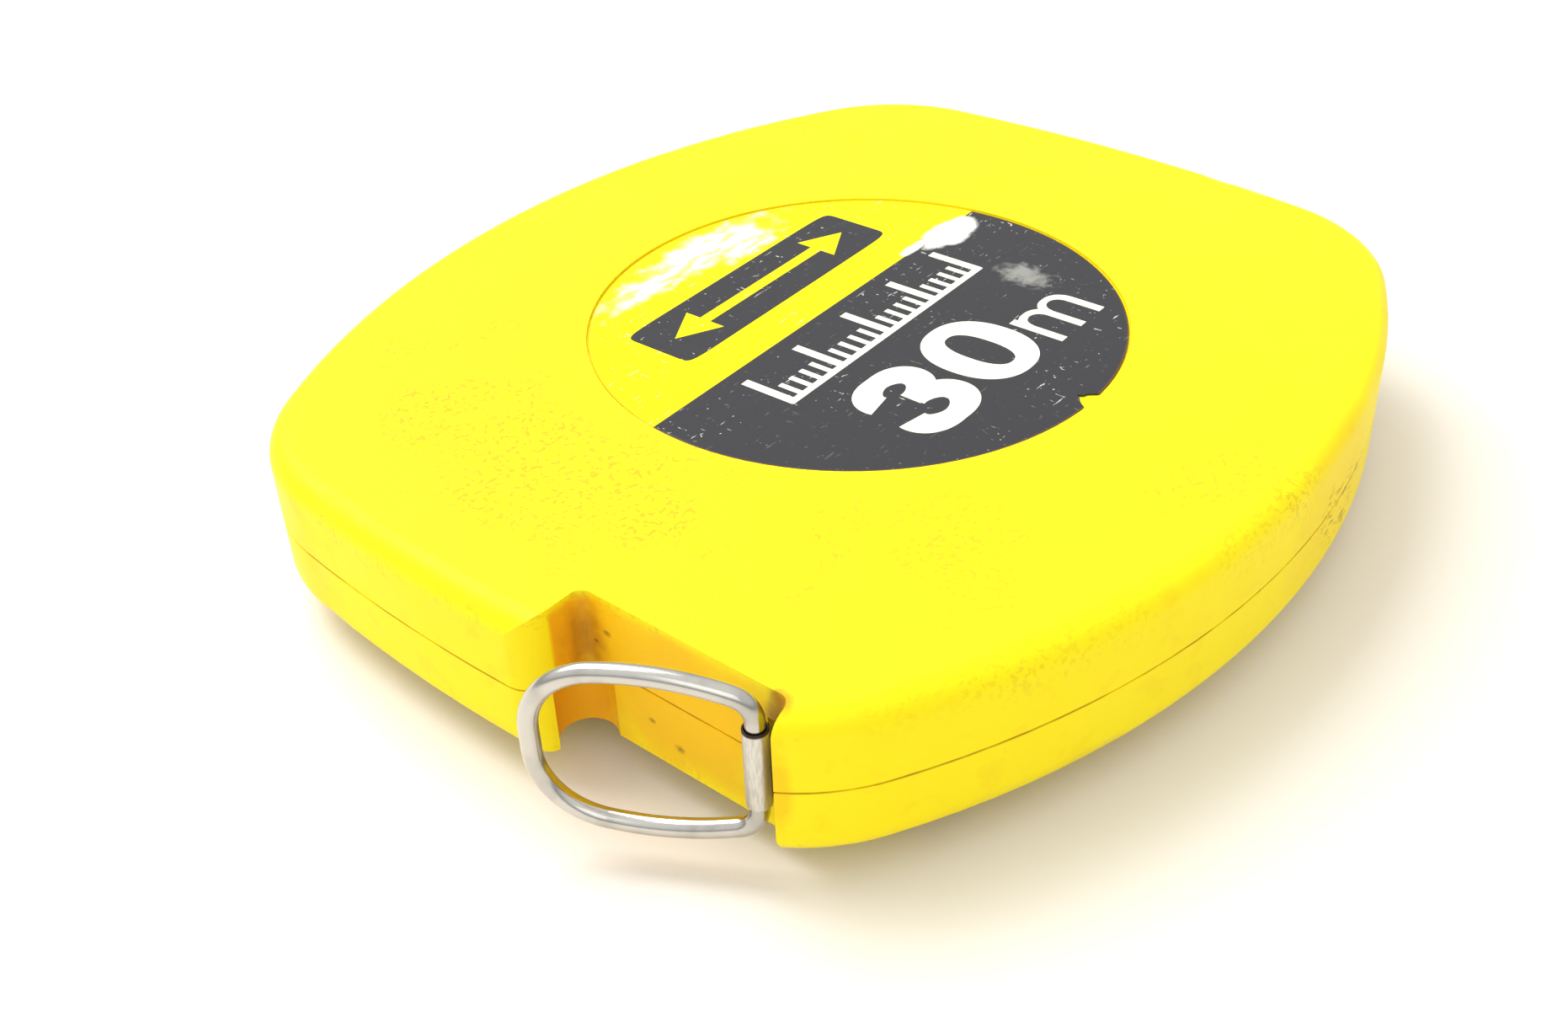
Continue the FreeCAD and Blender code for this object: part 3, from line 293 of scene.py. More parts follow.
def lay_grease(finish, coat):
    """Stains that fill the notch's far corner, thin out along its wall, and end under the top face."""
    below_top = finish.ramp(finish.axis("Z"), CASE_TOP + 0.2 * MM, CASE_TOP - 1.6 * MM)
    short_wall = finish.ramp(finish.axis("X"), SHORT_WALL_END, SHORT_WALL_END + 0.7 * MM)
    to_notch_wall = finish.ramp(finish.axis("X"), NOTCH_X + 1.6 * MM, NOTCH_X + 1.1 * MM)
    inside = (below_top, short_wall, to_notch_wall)
    away = finish.maths("SUBTRACT", FAR_Y + 0.4 * MM, finish.axis("Y"))
    fade = finish.maths("ADD", away, finish.maths("MULTIPLY", finish.noise(3 * MM, 5.0), 5 * MM))
    near_corner = finish.ramp(fade, 9.5 * MM, 3.5 * MM)
    in_reach = finish.ramp(away, 16 * MM, 15 * MM)
    not_beyond = finish.ramp(away, -3.0 * MM, -2.6 * MM)
    coat.lay(GREASE, 0.92, near_corner, in_reach, not_beyond, *inside)
    wall_middle = (NOTCH_X, LIP_Y + 16 * MM, 15 * MM)
    wall = finish.patch(wall_middle, at(2.6, 20, 15), ragged=0.3, size=5 * MM, firm=0.4)
    coat.lay(AMBER, 0.9, wall, *inside)
    core_middle = (NOTCH_X, FAR_Y, 17 * MM)
    core = finish.patch(core_middle, at(4.6, 4.6, 7.5), ragged=0.4, size=2 * MM, firm=0.1)
    coat.lay(RUST, 0.75, core, *inside)


def lay_lip_stains_and_shade(finish, coat):
    """Brown on the lip's top edge and behind the sleeve, where it is partly painted shade, grease down the
    lip, and single dark spots.
    """
    # Partly stain and partly painted shade: the brown behind the sleeve darkens the gap and the blade's
    # slot there, which lie in shade.
    shade_behind_sleeve_middle = (NOTCH_X - 0.5 * MM, LIP_Y + 2.0 * MM, 17.5 * MM)
    behind = finish.patch(shade_behind_sleeve_middle, at(2.0, 2.6, 9.0), ragged=0.3, firm=0.3)
    coat.lay(BROWN, 0.85, behind)
    edge_middle = (NOTCH_X - 0.6 * MM, LIP_Y + 1.0 * MM, 23 * MM)
    edge = finish.patch(edge_middle, at(2.4, 2.6, 2.0), ragged=0.3, firm=0.2)
    coat.lay(RUST, 0.8, edge)
    lip_middle = (NOTCH_X - 3 * MM, LIP_Y - 0.4 * MM, 14 * MM)
    lip = finish.patch(lip_middle, at(4.5, 1.5, 9), ragged=0.5, size=2 * MM, firm=0.2)
    coat.lay(GREASE, 0.4, lip)
    for middle, size in SPOTS:
        reach = at(size, size * 1.4, size)
        coat.lay(DARK, 0.6, finish.patch(middle, reach, ragged=0.45, size=0.4 * MM, firm=0.1))


print("dark spots:", len(SPOTS))

# %% Case finish
def lay_joint_dirt(finish, coat):
    """A thin brown line where the two shells meet, stronger in some places."""
    off_seam = finish.maths("ABSOLUTE", finish.maths("SUBTRACT", finish.axis("Z"), SEAM))
    line = finish.ramp(off_seam, 0.22 * MM, 0.10 * MM)
    patchy = finish.ramp(finish.noise(7 * MM), 0.35, 0.62)
    coat.lay(BROWN, 0.4, line, patchy)


def case_finish():
    """Yellow in two shades under all the marks, with pebbled bumps of half a millimetre."""
    finish = Finish("case_yellow", specular_ior_level=0.12)
    shades = finish.mix(finish.ramp(finish.noise(22 * MM), 0.45, 0.75), YELLOW, DEEP_YELLOW)
    coat = Coat(finish, shades)
    for lay_marks in (lay_dirt, lay_grease, lay_lip_stains_and_shade, lay_joint_dirt):
        lay_marks(finish, coat)
    finish.set("Base Color", coat.colour)
    uneven = finish.maths("MULTIPLY", finish.noise(5 * MM), 0.18)
    finish.set("Roughness", finish.maths("ADD", uneven, 0.34))
    fine = finish.maths("MULTIPLY", finish.noise(0.25 * MM), 0.5)
    finish.bump(finish.maths("ADD", finish.cells(0.55 * MM), fine), 0.035 * MM, 0.5)
    return finish.material


case_yellow = case_finish()
print("case finish has", len(case_yellow.node_tree.nodes), "nodes")

# %% [markdown]
# ## Metals and inner plastics
# Plated wire is bright but never perfect: fine scratches run along it and dull it a little. Bare and
# zinc-plated steel, brass and nylon differ in colour and in how their marks run, so one maker function
# with a few numbers serves them all.


# %% Metal and plastic finishes
def metal(name, colour, dull, streaks=(1, 1, 12), depth=0.004 * MM):
    """Metal whose roughness and colour vary along fine streaks."""
    finish = Finish(name, metallic=1.0)
    marks = finish.noise(0.5 * MM, 5.0, stretch=streaks)
    clouds = finish.noise(4 * MM, 3.0)
    worn = tuple(channel * 0.78 for channel in colour)
    finish.set("Base Color", finish.mix(finish.ramp(clouds, 0.4, 0.75), colour, worn))
    uneven = finish.maths("ADD", finish.maths("MULTIPLY", marks, dull * 0.5), dull * 0.75)
    finish.set("Roughness", uneven)
    finish.bump(marks, depth, 0.4)
    return finish.material


def plastic(name, colour, dull, grain=0.4 * MM, depth=0.02 * MM, dust=(0.5, 0.5, 0.5), dusty=0.12):
    """Moulded plastic with a fine grain and a little dust in it."""
    finish = Finish(name)
    settled = finish.maths("MULTIPLY", finish.ramp(finish.noise(3 * MM, 5.0), 0.45, 0.8), dusty)
    finish.set("Base Color", finish.mix(settled, colour, dust))
    uneven = finish.maths("MULTIPLY", finish.noise(2 * MM), 0.2)
    finish.set("Roughness", finish.maths("ADD", uneven, dull - 0.1))
    finish.bump(finish.cells(grain), depth, 0.5)
    return finish.material


nickel = metal("nickel_plate", (0.58, 0.56, 0.515), 0.20)
steel = metal("plain_steel", (0.56, 0.56, 0.55), 0.32)
zinc = metal("zinc_steel", (0.68, 0.70, 0.70), 0.30, streaks=(2, 2, 2))
brass = metal("bush_brass", (0.78, 0.58, 0.25), 0.25, streaks=(1, 1, 8))
nylon = plastic("bearing_nylon", (0.78, 0.76, 0.68), 0.45, dust=(0.3, 0.27, 0.22))
core_plastic = plastic("core_plastic", (0.05, 0.05, 0.055), 0.5)
HUB_GRAIN = 0.5 * MM
HUB_DEPTH = 0.03 * MM
hub_black = plastic("hub_black", (0.028, 0.028, 0.030), 0.42, HUB_GRAIN, HUB_DEPTH, dusty=0.09)
print("finishes so far:", len(bpy.data.materials))

# %% [markdown]
# ## Blade
# The blade is lacquered yellow, with black millimetre strokes from one edge. Strokes repeat, so they are
# arithmetic, not drawings: the distance along the blade is divided by the pitch, and the surface is
# black where the remainder is near zero and the height over the edge is less than the stroke's length.

# %% Blade finish
BLADE_HALF = 4.75 * MM
STROKES = ((1 * MM, 0.16 * MM, 2.2 * MM), (5 * MM, 0.22 * MM, 3.4 * MM), (10 * MM, 0.28 * MM, 9.5 * MM))


def blade_finish(with_strokes):
    """Yellow lacquer worn through in specks, with black strokes at each pitch if they are asked for."""
    finish = Finish("blade_scale" if with_strokes else "blade_lacquer", roughness=0.32)
    aged = finish.ramp(finish.noise(5 * MM), 0.4, 0.8)
    lacquer = finish.mix(aged, (0.90, 0.70, 0.02), (0.80, 0.60, 0.03))
    worn = finish.ramp(finish.noise(1.2 * MM, 5.0), 0.66, 0.74)
    colour = finish.mix(finish.maths("MULTIPLY", worn, 0.35), lacquer, (0.35, 0.30, 0.22))
    if with_strokes:
        from_hinge = finish.vector("SUBTRACT", finish.place, tuple(ring_hinge))
        along = finish.vector("DOT_PRODUCT", from_hinge, tuple(-pull))
        over_middle = finish.maths("SUBTRACT", finish.axis("Z"), ring_hinge.z)
        over_edge = finish.maths("ADD", over_middle, BLADE_HALF)
        ink = 0.0
        for pitch, thick, long in STROKES:
            turns = finish.maths("DIVIDE", along, pitch)
            off = finish.maths("ABSOLUTE", finish.maths("SUBTRACT", finish.maths("FRACT", turns), 0.5))
            stroke = finish.maths("GREATER_THAN", off, 0.5 - thick / pitch / 2)
            short = finish.maths("LESS_THAN", over_edge, long)
            ink = finish.maths("MAXIMUM", ink, finish.maths("MULTIPLY", stroke, short))
        colour = finish.mix(ink, colour, (0.02, 0.02, 0.02))
    finish.set("Base Color", colour)
    finish.bump(finish.noise(0.6 * MM, 4.0), 0.006 * MM, 0.4)
    return finish.material


blade_scale = blade_finish(True)
blade_lacquer = blade_finish(False)
print("strokes:", len(STROKES))

# %% [markdown]
# ## Label
# The round label is printed paper under a thin film: yellow above, dark grey below, split by a straight
# line that is turned by two degrees. It has torn in two places, where white paper shows, and it is
# scratched all over. The tears are ragged patches that take the print away.

# %% Label colours
label_low, label_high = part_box("label_disc")
LABEL_RADIUS = label_high.x
LABEL_TOP = label_high.z
LABEL_TURN = math.radians(1.9)
SPLIT_HIGH = 4.85 * MM
PRINT_YELLOW = (0.93, 0.79, 0.004)
PRINT_GREY = (0.044, 0.044, 0.048)
PAPER = (0.80, 0.79, 0.70)
CREAM = (0.80, 0.79, 0.64)
print("label", round(2 * LABEL_RADIUS / MM, 1), "mm across")

# %% Label wear
UPPER_TEARS = (  # middle, reach, ragged, size, firm
    (at(3, 29.0, 23.4), at(17, 4.6, 4), 0.75, 3 * MM, 0.35),
    (at(-9, 28.2, 23.4), at(13, 3.4, 4), 0.8, 2 * MM, 0.2),
    (at(7, 25.0, 23.4), at(7, 2.6, 4), 0.7, 2 * MM, 0.3),
)
SIDE_TEARS = (
    (at(27.2, 4.6, 23.4), at(6.4, 3.1, 4), 0.28, 2.5 * MM, 0.75),
    (at(20.5, 6.0, 23.4), at(3.4, 1.0, 4), 0.5, 1.5 * MM, 0.6),
)


def torn_by(finish, tears):
    """1 where any of the tears is: the largest of their patches."""
    torn = 0.0
    for middle, reach, ragged, size, firm in tears:
        torn = finish.maths("MAXIMUM", torn, finish.patch(middle, reach, ragged, size, firm))
    return torn


def label_worn(finish, colour):
    """Adds the label's tears, scratches and specks to a printed colour."""
    upper = torn_by(finish, UPPER_TEARS)
    fibres = finish.ramp(finish.noise(1.6 * MM, 6.0, stretch=(0.4, 1.2, 1)), 0.52, 0.38)
    faint = finish.maths("MULTIPLY", fibres, 0.7)
    thinned = finish.maths("SUBTRACT", upper, finish.maths("MULTIPLY", faint, upper))
    torn = finish.maths("MAXIMUM", thinned, torn_by(finish, SIDE_TEARS))
    colour = finish.mix(torn, colour, PAPER)
    marks = finish.ramp(finish.noise(0.7 * MM, 4.0, stretch=(0.22, 1.6, 1)), 0.68, 0.72)
    other_marks = finish.ramp(finish.noise(0.6 * MM, 4.0, stretch=(1.5, 0.3, 1), shift=0.7), 0.69, 0.73)
    specks = finish.ramp(finish.noise(0.7 * MM, 3.0, shift=1.3), 0.69, 0.73)
    wear = finish.maths("MAXIMUM", finish.maths("MAXIMUM", marks, other_marks), specks)
    rubbed_areas = finish.maths("MULTIPLY", finish.ramp(finish.noise(9 * MM), 0.45, 0.62), 0.6)
    worst = finish.maths("ADD", rubbed_areas, 0.08)
    colour = finish.mix(finish.maths("MULTIPLY", wear, worst), colour, PAPER)
    cloud = finish.patch(at(23, -11, 23.4), at(3.5, 5, 4), ragged=0.8, size=1.5 * MM, firm=0.2)
    colour = finish.mix(finish.maths("MULTIPLY", cloud, 0.3), colour, PAPER)
    return colour, torn


print("tears:", len(UPPER_TEARS) + len(SIDE_TEARS))


# %% Label finish
def label_finish(name, inks):
    """Printed paper: one ink, or two that meet on the turned dividing line, under the label's wear, with
    painted shade round its rim.
    """
    finish = Finish(name, specular_ior_level=0.08)
    if len(inks) == 2:
        up = (-math.sin(LABEL_TURN), math.cos(LABEL_TURN), 0.0)
        height = finish.maths("SUBTRACT", finish.vector("DOT_PRODUCT", finish.place, up), SPLIT_HIGH)
        printed = finish.mix(finish.ramp(height, -0.05 * MM, 0.05 * MM), inks[1], inks[0])
    else:
        faded = [channel * 0.93 for channel in inks[0]]
        printed = finish.mix(finish.ramp(finish.noise(4 * MM), 0.4, 0.9), inks[0], faded)
    colour, torn = label_worn(finish, printed)
    # Painted shade: a thin brown ring darkens the label's rim, where the recess wall shades it.
    radius = finish.vector("LENGTH", finish.vector("MULTIPLY", finish.place, (1, 1, 0)))
    rim = finish.ramp(radius, LABEL_RADIUS - 0.3 * MM, LABEL_RADIUS - 0.05 * MM)
    colour = finish.mix(finish.maths("MULTIPLY", rim, 0.4), colour, BROWN)
    finish.set("Base Color", colour)
    gloss = finish.maths("ADD", finish.maths("MULTIPLY", torn, 0.35), 0.30)
    uneven = finish.maths("MULTIPLY", finish.noise(2 * MM, 5.0), 0.15)
    finish.set("Roughness", finish.maths("ADD", gloss, uneven))
    relief = finish.maths("SUBTRACT", finish.maths("MULTIPLY", finish.noise(3 * MM), 0.5), torn)
    finish.bump(relief, 0.05 * MM, 0.6)
    return finish.material


label_print = label_finish("label_print", (PRINT_YELLOW, PRINT_GREY))
cream_ink = label_finish("cream_ink", (CREAM,))
grey_ink = label_finish("grey_ink", (PRINT_GREY,))
yellow_ink = label_finish("yellow_ink", (PRINT_YELLOW,))
print("label finishes:", len((label_print, cream_ink, grey_ink, yellow_ink)))

# %% [markdown]
# ## Words for surfaces
# A surface here is a grid of points worked out in one go by numpy, and quads between neighbours. Five
# helpers are enough: the quads of a grid, a piece made of points and faces, several surfaces merged
# into one, a strip, which is a flat bar carried along a path, and the points of an arc.


# %% Grids and pieces
def quads(rows, columns, wrap_rows=False, wrap_columns=False):
    """Corners of the quads of a rows by columns grid, which may close on itself either way."""
    row = np.arange(rows if wrap_rows else rows - 1)[:, None]
    column = np.arange(columns if wrap_columns else columns - 1)[None, :]
    next_row = (row + 1) % rows
    next_column = (column + 1) % columns
    corners = (
        row * columns + column,
        row * columns + next_column,
        next_row * columns + next_column,
        next_row * columns + column,
    )
    whole = [np.broadcast_to(corner, (row.size, column.size)) for corner in corners]
    return np.stack(whole, axis=-1).reshape(-1, 4)


def piece(name, points, faces, body, slot, finish, replaces=(), sharp=35):
    """A mesh object from points and faces, welded, turned outwards, shaded, and given its body."""
    mesh = bpy.data.meshes.new(name)
    mesh.from_pydata(np.asarray(points, float).reshape(-1, 3).tolist(), [], [list(f) for f in faces])
    shell = bmesh.new()
    shell.from_mesh(mesh)
    bmesh.ops.remove_doubles(shell, verts=shell.verts, dist=0.0005 * MM)
    bmesh.ops.recalc_face_normals(shell, faces=shell.faces)
    shell.to_mesh(mesh)
    shell.free()
    mesh.shade_smooth()
    mesh.set_sharp_from_angle(angle=math.radians(sharp))
    mesh.materials.append(finish)
    made = bpy.data.objects.new(name, mesh)
    bpy.context.scene.collection.objects.link(made)
    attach(made, body)
    if replaces:
        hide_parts(*replaces)
    print(f"{name}: {len(mesh.vertices)} points, {len(mesh.polygons)} faces")
    return made


print("grid of 3 by 4 has", len(quads(3, 4)), "quads")


# %% Merged surfaces, strips and arcs
def merged(parts):
    """One list of points and one of faces from several (points, faces) pairs."""
    points, faces, count = [], [], 0
    for some_points, some_faces in parts:
        some_points = np.asarray(some_points, float).reshape(-1, 3)
        points.append(some_points)
        faces.extend([[int(i) + count for i in face] for face in some_faces])
        count += len(some_points)
    return np.concatenate(points), faces


def strip(path, width, low, high, closed=False):
    """A flat bar along a 2-D path: at each point its section's four corners, square to the path."""
    path = np.asarray(path, float)
    ahead = np.roll(path, -1, 0) - np.roll(path, 1, 0)
    if not closed:
        ahead[0] = path[1] - path[0]
        ahead[-1] = path[-1] - path[-2]
    ahead /= np.linalg.norm(ahead, axis=1)[:, None]
    side = np.stack((-ahead[:, 1], ahead[:, 0]), 1) * (np.broadcast_to(width, len(path)) / 2)[:, None]
    level = np.ones(len(path))
    corners = [
        np.column_stack((path + side, level * low)),
        np.column_stack((path - side, level * low)),
        np.column_stack((path - side, level * high)),
        np.column_stack((path + side, level * high)),
    ]
    points = np.stack(corners, 1)
    faces = [list(face) for face in quads(len(path), 4, wrap_rows=closed, wrap_columns=True)]
    if not closed:
        last = 4 * (len(path) - 1)
        faces += [[0, 1, 2, 3], [last + 3, last + 2, last + 1, last]]
    return points, faces


def arc(middle, half_wide, half_high, start, end, count=40, power=2.0):
    """Points of a superellipse between two angles in degrees. Power 2 is a plain ellipse."""
    angle = np.radians(np.linspace(start, end, count))
    across, up = np.cos(angle), np.sin(angle)
    x = middle[0] + half_wide * np.sign(across) * np.abs(across) ** (2 / power)
    y = middle[1] + half_high * np.sign(up) * np.abs(up) ** (2 / power)
    return np.column_stack((x, y))


print("quarter arc ends at", arc((0, 0), 1, 1, 0, 90)[-1].round(3))

# %% [markdown]
# ## Label disc
# The label is a disc 0.3 mm thick that lies in the case's recess. A small bite is torn from its near
# edge. On a polar grid the bite is easy: the radius is the label's, less a bump of depth
# that depends on the angle alone. Its face is very slightly wavy, as stuck paper is.

# %% Label disc
BITE_AT = math.radians(-87.6)
BITE_WIDE = math.radians(2.3)
BITE_DEEP = 1.7 * MM
EDGE_SOFT = 0.06 * MM
WAVE_HIGH = 0.010 * MM


def label_disc(spokes=720, rings=36):
    """Rings from the middle out, then over the edge and back along the underside."""
    angle = np.linspace(0, 2 * np.pi, spokes, endpoint=False)
    off = (angle - BITE_AT + np.pi) % (2 * np.pi) - np.pi
    jag = 1 + 0.18 * np.sin(angle * 151) + 0.12 * np.sin(angle * 287)
    rim = LABEL_RADIUS - BITE_DEEP * np.exp(-((off / BITE_WIDE) ** 4)) * jag
    share = np.linspace(0, 1, rings) ** 0.8
    inner = rim - EDGE_SOFT
    radius = share[:, None] * inner
    x, y = radius * np.cos(angle), radius * np.sin(angle)
    wave = WAVE_HIGH * (np.sin(x * 260 + 1) * np.cos(y * 310) - 1) * share[:, None]
    face = np.stack((x, y, LABEL_TOP + wave), -1)
    edge = [(rim, LABEL_TOP - EDGE_SOFT), (rim, label_low.z + 0.02 * MM), (inner, label_low.z)]
    rows = [np.stack((r * np.cos(angle), r * np.sin(angle), np.full(spokes, z)), -1) for r, z in edge]
    underside = np.zeros((1, spokes, 3))
    underside[..., 2] = label_low.z
    points = np.concatenate((face, np.stack(rows), underside))
    return points, quads(len(points), spokes, wrap_columns=True)


piece("label", *label_disc(), "case", "label_print", label_print, replaces=("label_disc",))

# %% [markdown]
# ## Label print
# Print is a film of ink. Each figure is built from a few strokes on a small upright grid, in
# millimetres, then turned with the label and set down. The nought is a band between two
# superellipses, the three is two bowls, and the unit is stems and arches. Scales and arrows take the
# place of any wording.

# %% Print helpers
INK_LOW = LABEL_TOP - 0.03 * MM
INK_HIGH = LABEL_TOP + 0.03 * MM


def set_down(parts, x, y):
    """Moves strokes from their own grid, in millimetres, to x, y on the turned label."""
    points, faces = merged(parts)
    cosine, sine = math.cos(LABEL_TURN), math.sin(LABEL_TURN)
    turn = np.array([[cosine, -sine], [sine, cosine]])
    flat = (points[:, :2] + (x, y)) * MM @ turn.T
    return np.column_stack((flat, points[:, 2])), faces


def film(path, width, lift=0.0, closed=False):
    """A stroke of ink along a path in millimetres."""
    return strip(path, width, INK_LOW, INK_HIGH + lift * MM, closed)


def between(outer, inner):
    """A flat band between two closed outlines with the same number of points."""
    loops = [(outer, INK_LOW), (outer, INK_HIGH), (inner, INK_HIGH), (inner, INK_LOW)]
    points = np.stack([np.column_stack((loop, np.full(len(loop), z))) for loop, z in loops])
    return points, quads(4, len(outer), wrap_rows=True, wrap_columns=True)


print("ink stands", round((INK_HIGH - LABEL_TOP) / MM, 3), "mm over the label")

# %% Figures and unit
BOWLS = (  # middle, half width, half height, start, end, swell, lift
    ((6.35, 10.75), 4.0, 2.72, 190, -96, 1.25, 0.0),
    ((6.45, 4.66), 4.35, 2.95, 96, -190, 1.35, 0.004),
)
THREE_AT = (-17.9, -24.9)
NOUGHT_AT = (-3.9, -24.9)
UNIT_AT = (10.1, -24.8)


def three(count=60):
    """Two bowls that meet at the waist: each stroke is 3 mm wide and swells where it runs upright."""
    strokes = []
    for middle, half_wide, half_high, start, end, swell, lift in BOWLS:
        path = arc(middle, half_wide, half_high, start, end, count, 2.1)
        upright = np.abs(np.cos(np.radians(np.linspace(start, end, count))))
        strokes.append(film(path, 3.0 + swell * upright**1.3, lift))
    return strokes


def nought(count=96):
    """A band between two superellipses about one middle."""
    last = 360 - 360 / count
    outer = arc((6.5, 7.55), 6.5, 7.6, 0, last, count, 2.25)
    inner = arc((6.5, 7.55), 2.45, 4.9, 0, last, count, 2.4)
    return [between(outer, inner)]


def metre_sign():
    """Three stems and two arches: an arch thins towards its top and goes on into the next stem."""
    stem = 1.35
    parts = [film([(0.8, 0), (0.8, 7.9)], stem)]
    for x, lift in ((0.8, 0.003), (5.45, 0.006)):
        over = arc((x + 2.35, 4.8), 2.3, 2.45, 172, 0, 24, 2.2)
        leg = np.array([(x + 4.65, 3.0), (x + 4.65, 0)])
        arch_wide = 1.0 + 0.35 * np.abs(np.cos(np.radians(np.linspace(172, 0, 24))))
        wide = np.concatenate((arch_wide, [stem, stem]))
        parts.append(film(np.concatenate((over, leg)), wide, lift))
    return parts


figures = merged([set_down(three(), *THREE_AT), set_down(nought(), *NOUGHT_AT)])
piece("print_figures", *figures, "case", "label_print", cream_ink)
piece("print_unit", *set_down(metre_sign(), *UNIT_AT), "case", "label_print", cream_ink)

# %% Scale and arrow in place of wording
SCALE_LONG = 42.0
SCALE_STEPS = 20
SCALE_INSET = 0.55
SCALE_AT = (-21.0, -5.9)
PLATE_SIZE = (43.0, 11.0)
PLATE_AT = (-20.8, 10.9)
ARROW_LONG = 36.0
ARROW_AT = (-17.3, 16.4)
ARROW_LIFT = 0.02
HEAD_LONG = 6.0
HEAD_WIDE = 6.4
HEAD_TIP = 0.05
SHAFT_WIDE = 1.7


def scale():
    """A printed scale: a base line with strokes, every fifth one tall."""
    parts = [film([(0, 0.5), (SCALE_LONG, 0.5)], 1.0)]
    for step in range(SCALE_STEPS + 1):
        x = SCALE_INSET + (SCALE_LONG - 2 * SCALE_INSET) * step / SCALE_STEPS
        tall, wide = (8.2, 1.3) if step % 5 == 0 else (4.2, 0.85)
        parts.append(film([(x, 0.2), (x, tall)], wide, lift=0.003))
    return parts


def plate(long, high, count=144, square=14.0):
    """A filled bar: a nearly square superellipse, whose faces run in to its middle line."""
    centre = (long / 2, high / 2)
    outline = arc(centre, *centre, 0, 360 - 360 / count, count, square)
    spine = np.clip(outline[:, 0], high / 2, long - high / 2)
    middle = np.column_stack((spine, np.full(count, high / 2)))
    loops = [(middle, INK_LOW), (outline, INK_LOW), (outline, INK_HIGH), (middle, INK_HIGH)]
    points = np.stack([np.column_stack((loop, np.full(count, z))) for loop, z in loops])
    return points, quads(len(loops), count, wrap_columns=True)


def arrow(long, lift):
    """A double-headed arrow: a shaft and two heads that widen from nothing."""
    start = HEAD_LONG - 0.5
    shaft = film([(start, 0), (long - start, 0)], SHAFT_WIDE, lift)
    widths = [HEAD_TIP, HEAD_WIDE]
    left = film([(0, 0), (HEAD_LONG, 0)], widths, lift + 0.003)
    right = film([(long, 0), (long - HEAD_LONG, 0)], widths, lift + 0.003)
    return [shaft, left, right]


piece("print_scale", *set_down(scale(), *SCALE_AT), "case", "label_print", cream_ink)
piece("print_plate", *set_down([plate(*PLATE_SIZE)], *PLATE_AT), "case", "label_print", grey_ink)
piece("print_arrow", *set_down(arrow(ARROW_LONG, ARROW_LIFT), *ARROW_AT), "case", "label_print", yellow_ink)

# %% [markdown]
# ## End sleeve
# The sleeve is one strip of sheet rolled round the wire, with its two ends pressed flat against the
# blade and riveted. Its outline from above is carried straight up, so the surface is a grid: along the
# outline one way, and round the sheet's thickness, with half-round edges, the other way.

# %% End sleeve
MIDDLE_Z = (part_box("blade_lead")[0].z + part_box("blade_lead")[1].z) / 2
SHEET = 0.25 * MM
ROLL_RADIUS = 1.275 * MM
LEAF_REACH = 7.0 * MM
LEAF_OFF = 0.225 * MM
ROLL_UP = 6.55 * MM
ROLL_DOWN = 3.75 * MM
LEAF_HALF = 4.65 * MM
FLATTEN_OVER = 1.2 * MM


def sleeve_outline(bend=56, leaf=16):
    """Middle line of the sheet: in along one leaf, round the wire, and back along the other."""
    first = math.asin(LEAF_OFF / ROLL_RADIUS)
    angle = np.linspace(first, 2 * np.pi - first, bend)
    roll = ROLL_RADIUS * np.column_stack((np.cos(angle), np.sin(angle)))
    reach = np.linspace(LEAF_REACH, roll[0, 0] + 0.25 * MM, leaf)
    upper = np.column_stack((reach, np.full(leaf, LEAF_OFF)))
    return np.concatenate((upper, roll, upper[::-1] * (1, -1)))


def end_sleeve(around=20):
    """The sheet's rounded section carried along its outline. The leaves are lower than the roll."""
    line = sleeve_outline()
    ahead = np.gradient(line, axis=0)
    ahead /= np.linalg.norm(ahead, axis=1)[:, None]
    side = np.column_stack((ahead[:, 1], -ahead[:, 0]))
    from_wire = np.clip((line[:, 0] - ROLL_RADIUS) / FLATTEN_OVER, 0, 1)
    on_leaf = from_wire * from_wire * (3 - 2 * from_wire)
    up_half = ROLL_UP + (LEAF_HALF - ROLL_UP) * on_leaf
    down_half = ROLL_DOWN + (LEAF_HALF - ROLL_DOWN) * on_leaf
    angle = np.linspace(0, 2 * np.pi, around, endpoint=False) + np.pi / around
    off = SHEET / 2 * np.cos(angle)
    rise = SHEET / 2 * np.sin(angle)
    upper = np.sin(angle)[None, :] > 0
    up = np.where(upper, up_half[:, None] - SHEET / 2, SHEET / 2 - down_half[:, None]) + rise
    flat = line[:, None, :] + side[:, None, :] * off[None, :, None]
    blade_way = -np.array(pull[:2])
    across = np.array((-blade_way[1], blade_way[0]))
    plan = flat[..., :1] * blade_way + flat[..., 1:] * across
    centre = np.array((ring_hinge.x, ring_hinge.y, MIDDLE_Z))
    points = np.concatenate((plan, up[..., None]), -1) + centre
    faces = [list(face) for face in quads(len(line), around, wrap_columns=True)]
    last = (len(line) - 1) * around
    faces += [list(range(around)), list(range(last + around - 1, last - 1, -1))]
    return points, faces


print("sleeve is", round((ROLL_UP + ROLL_DOWN) / MM, 2), "mm high")


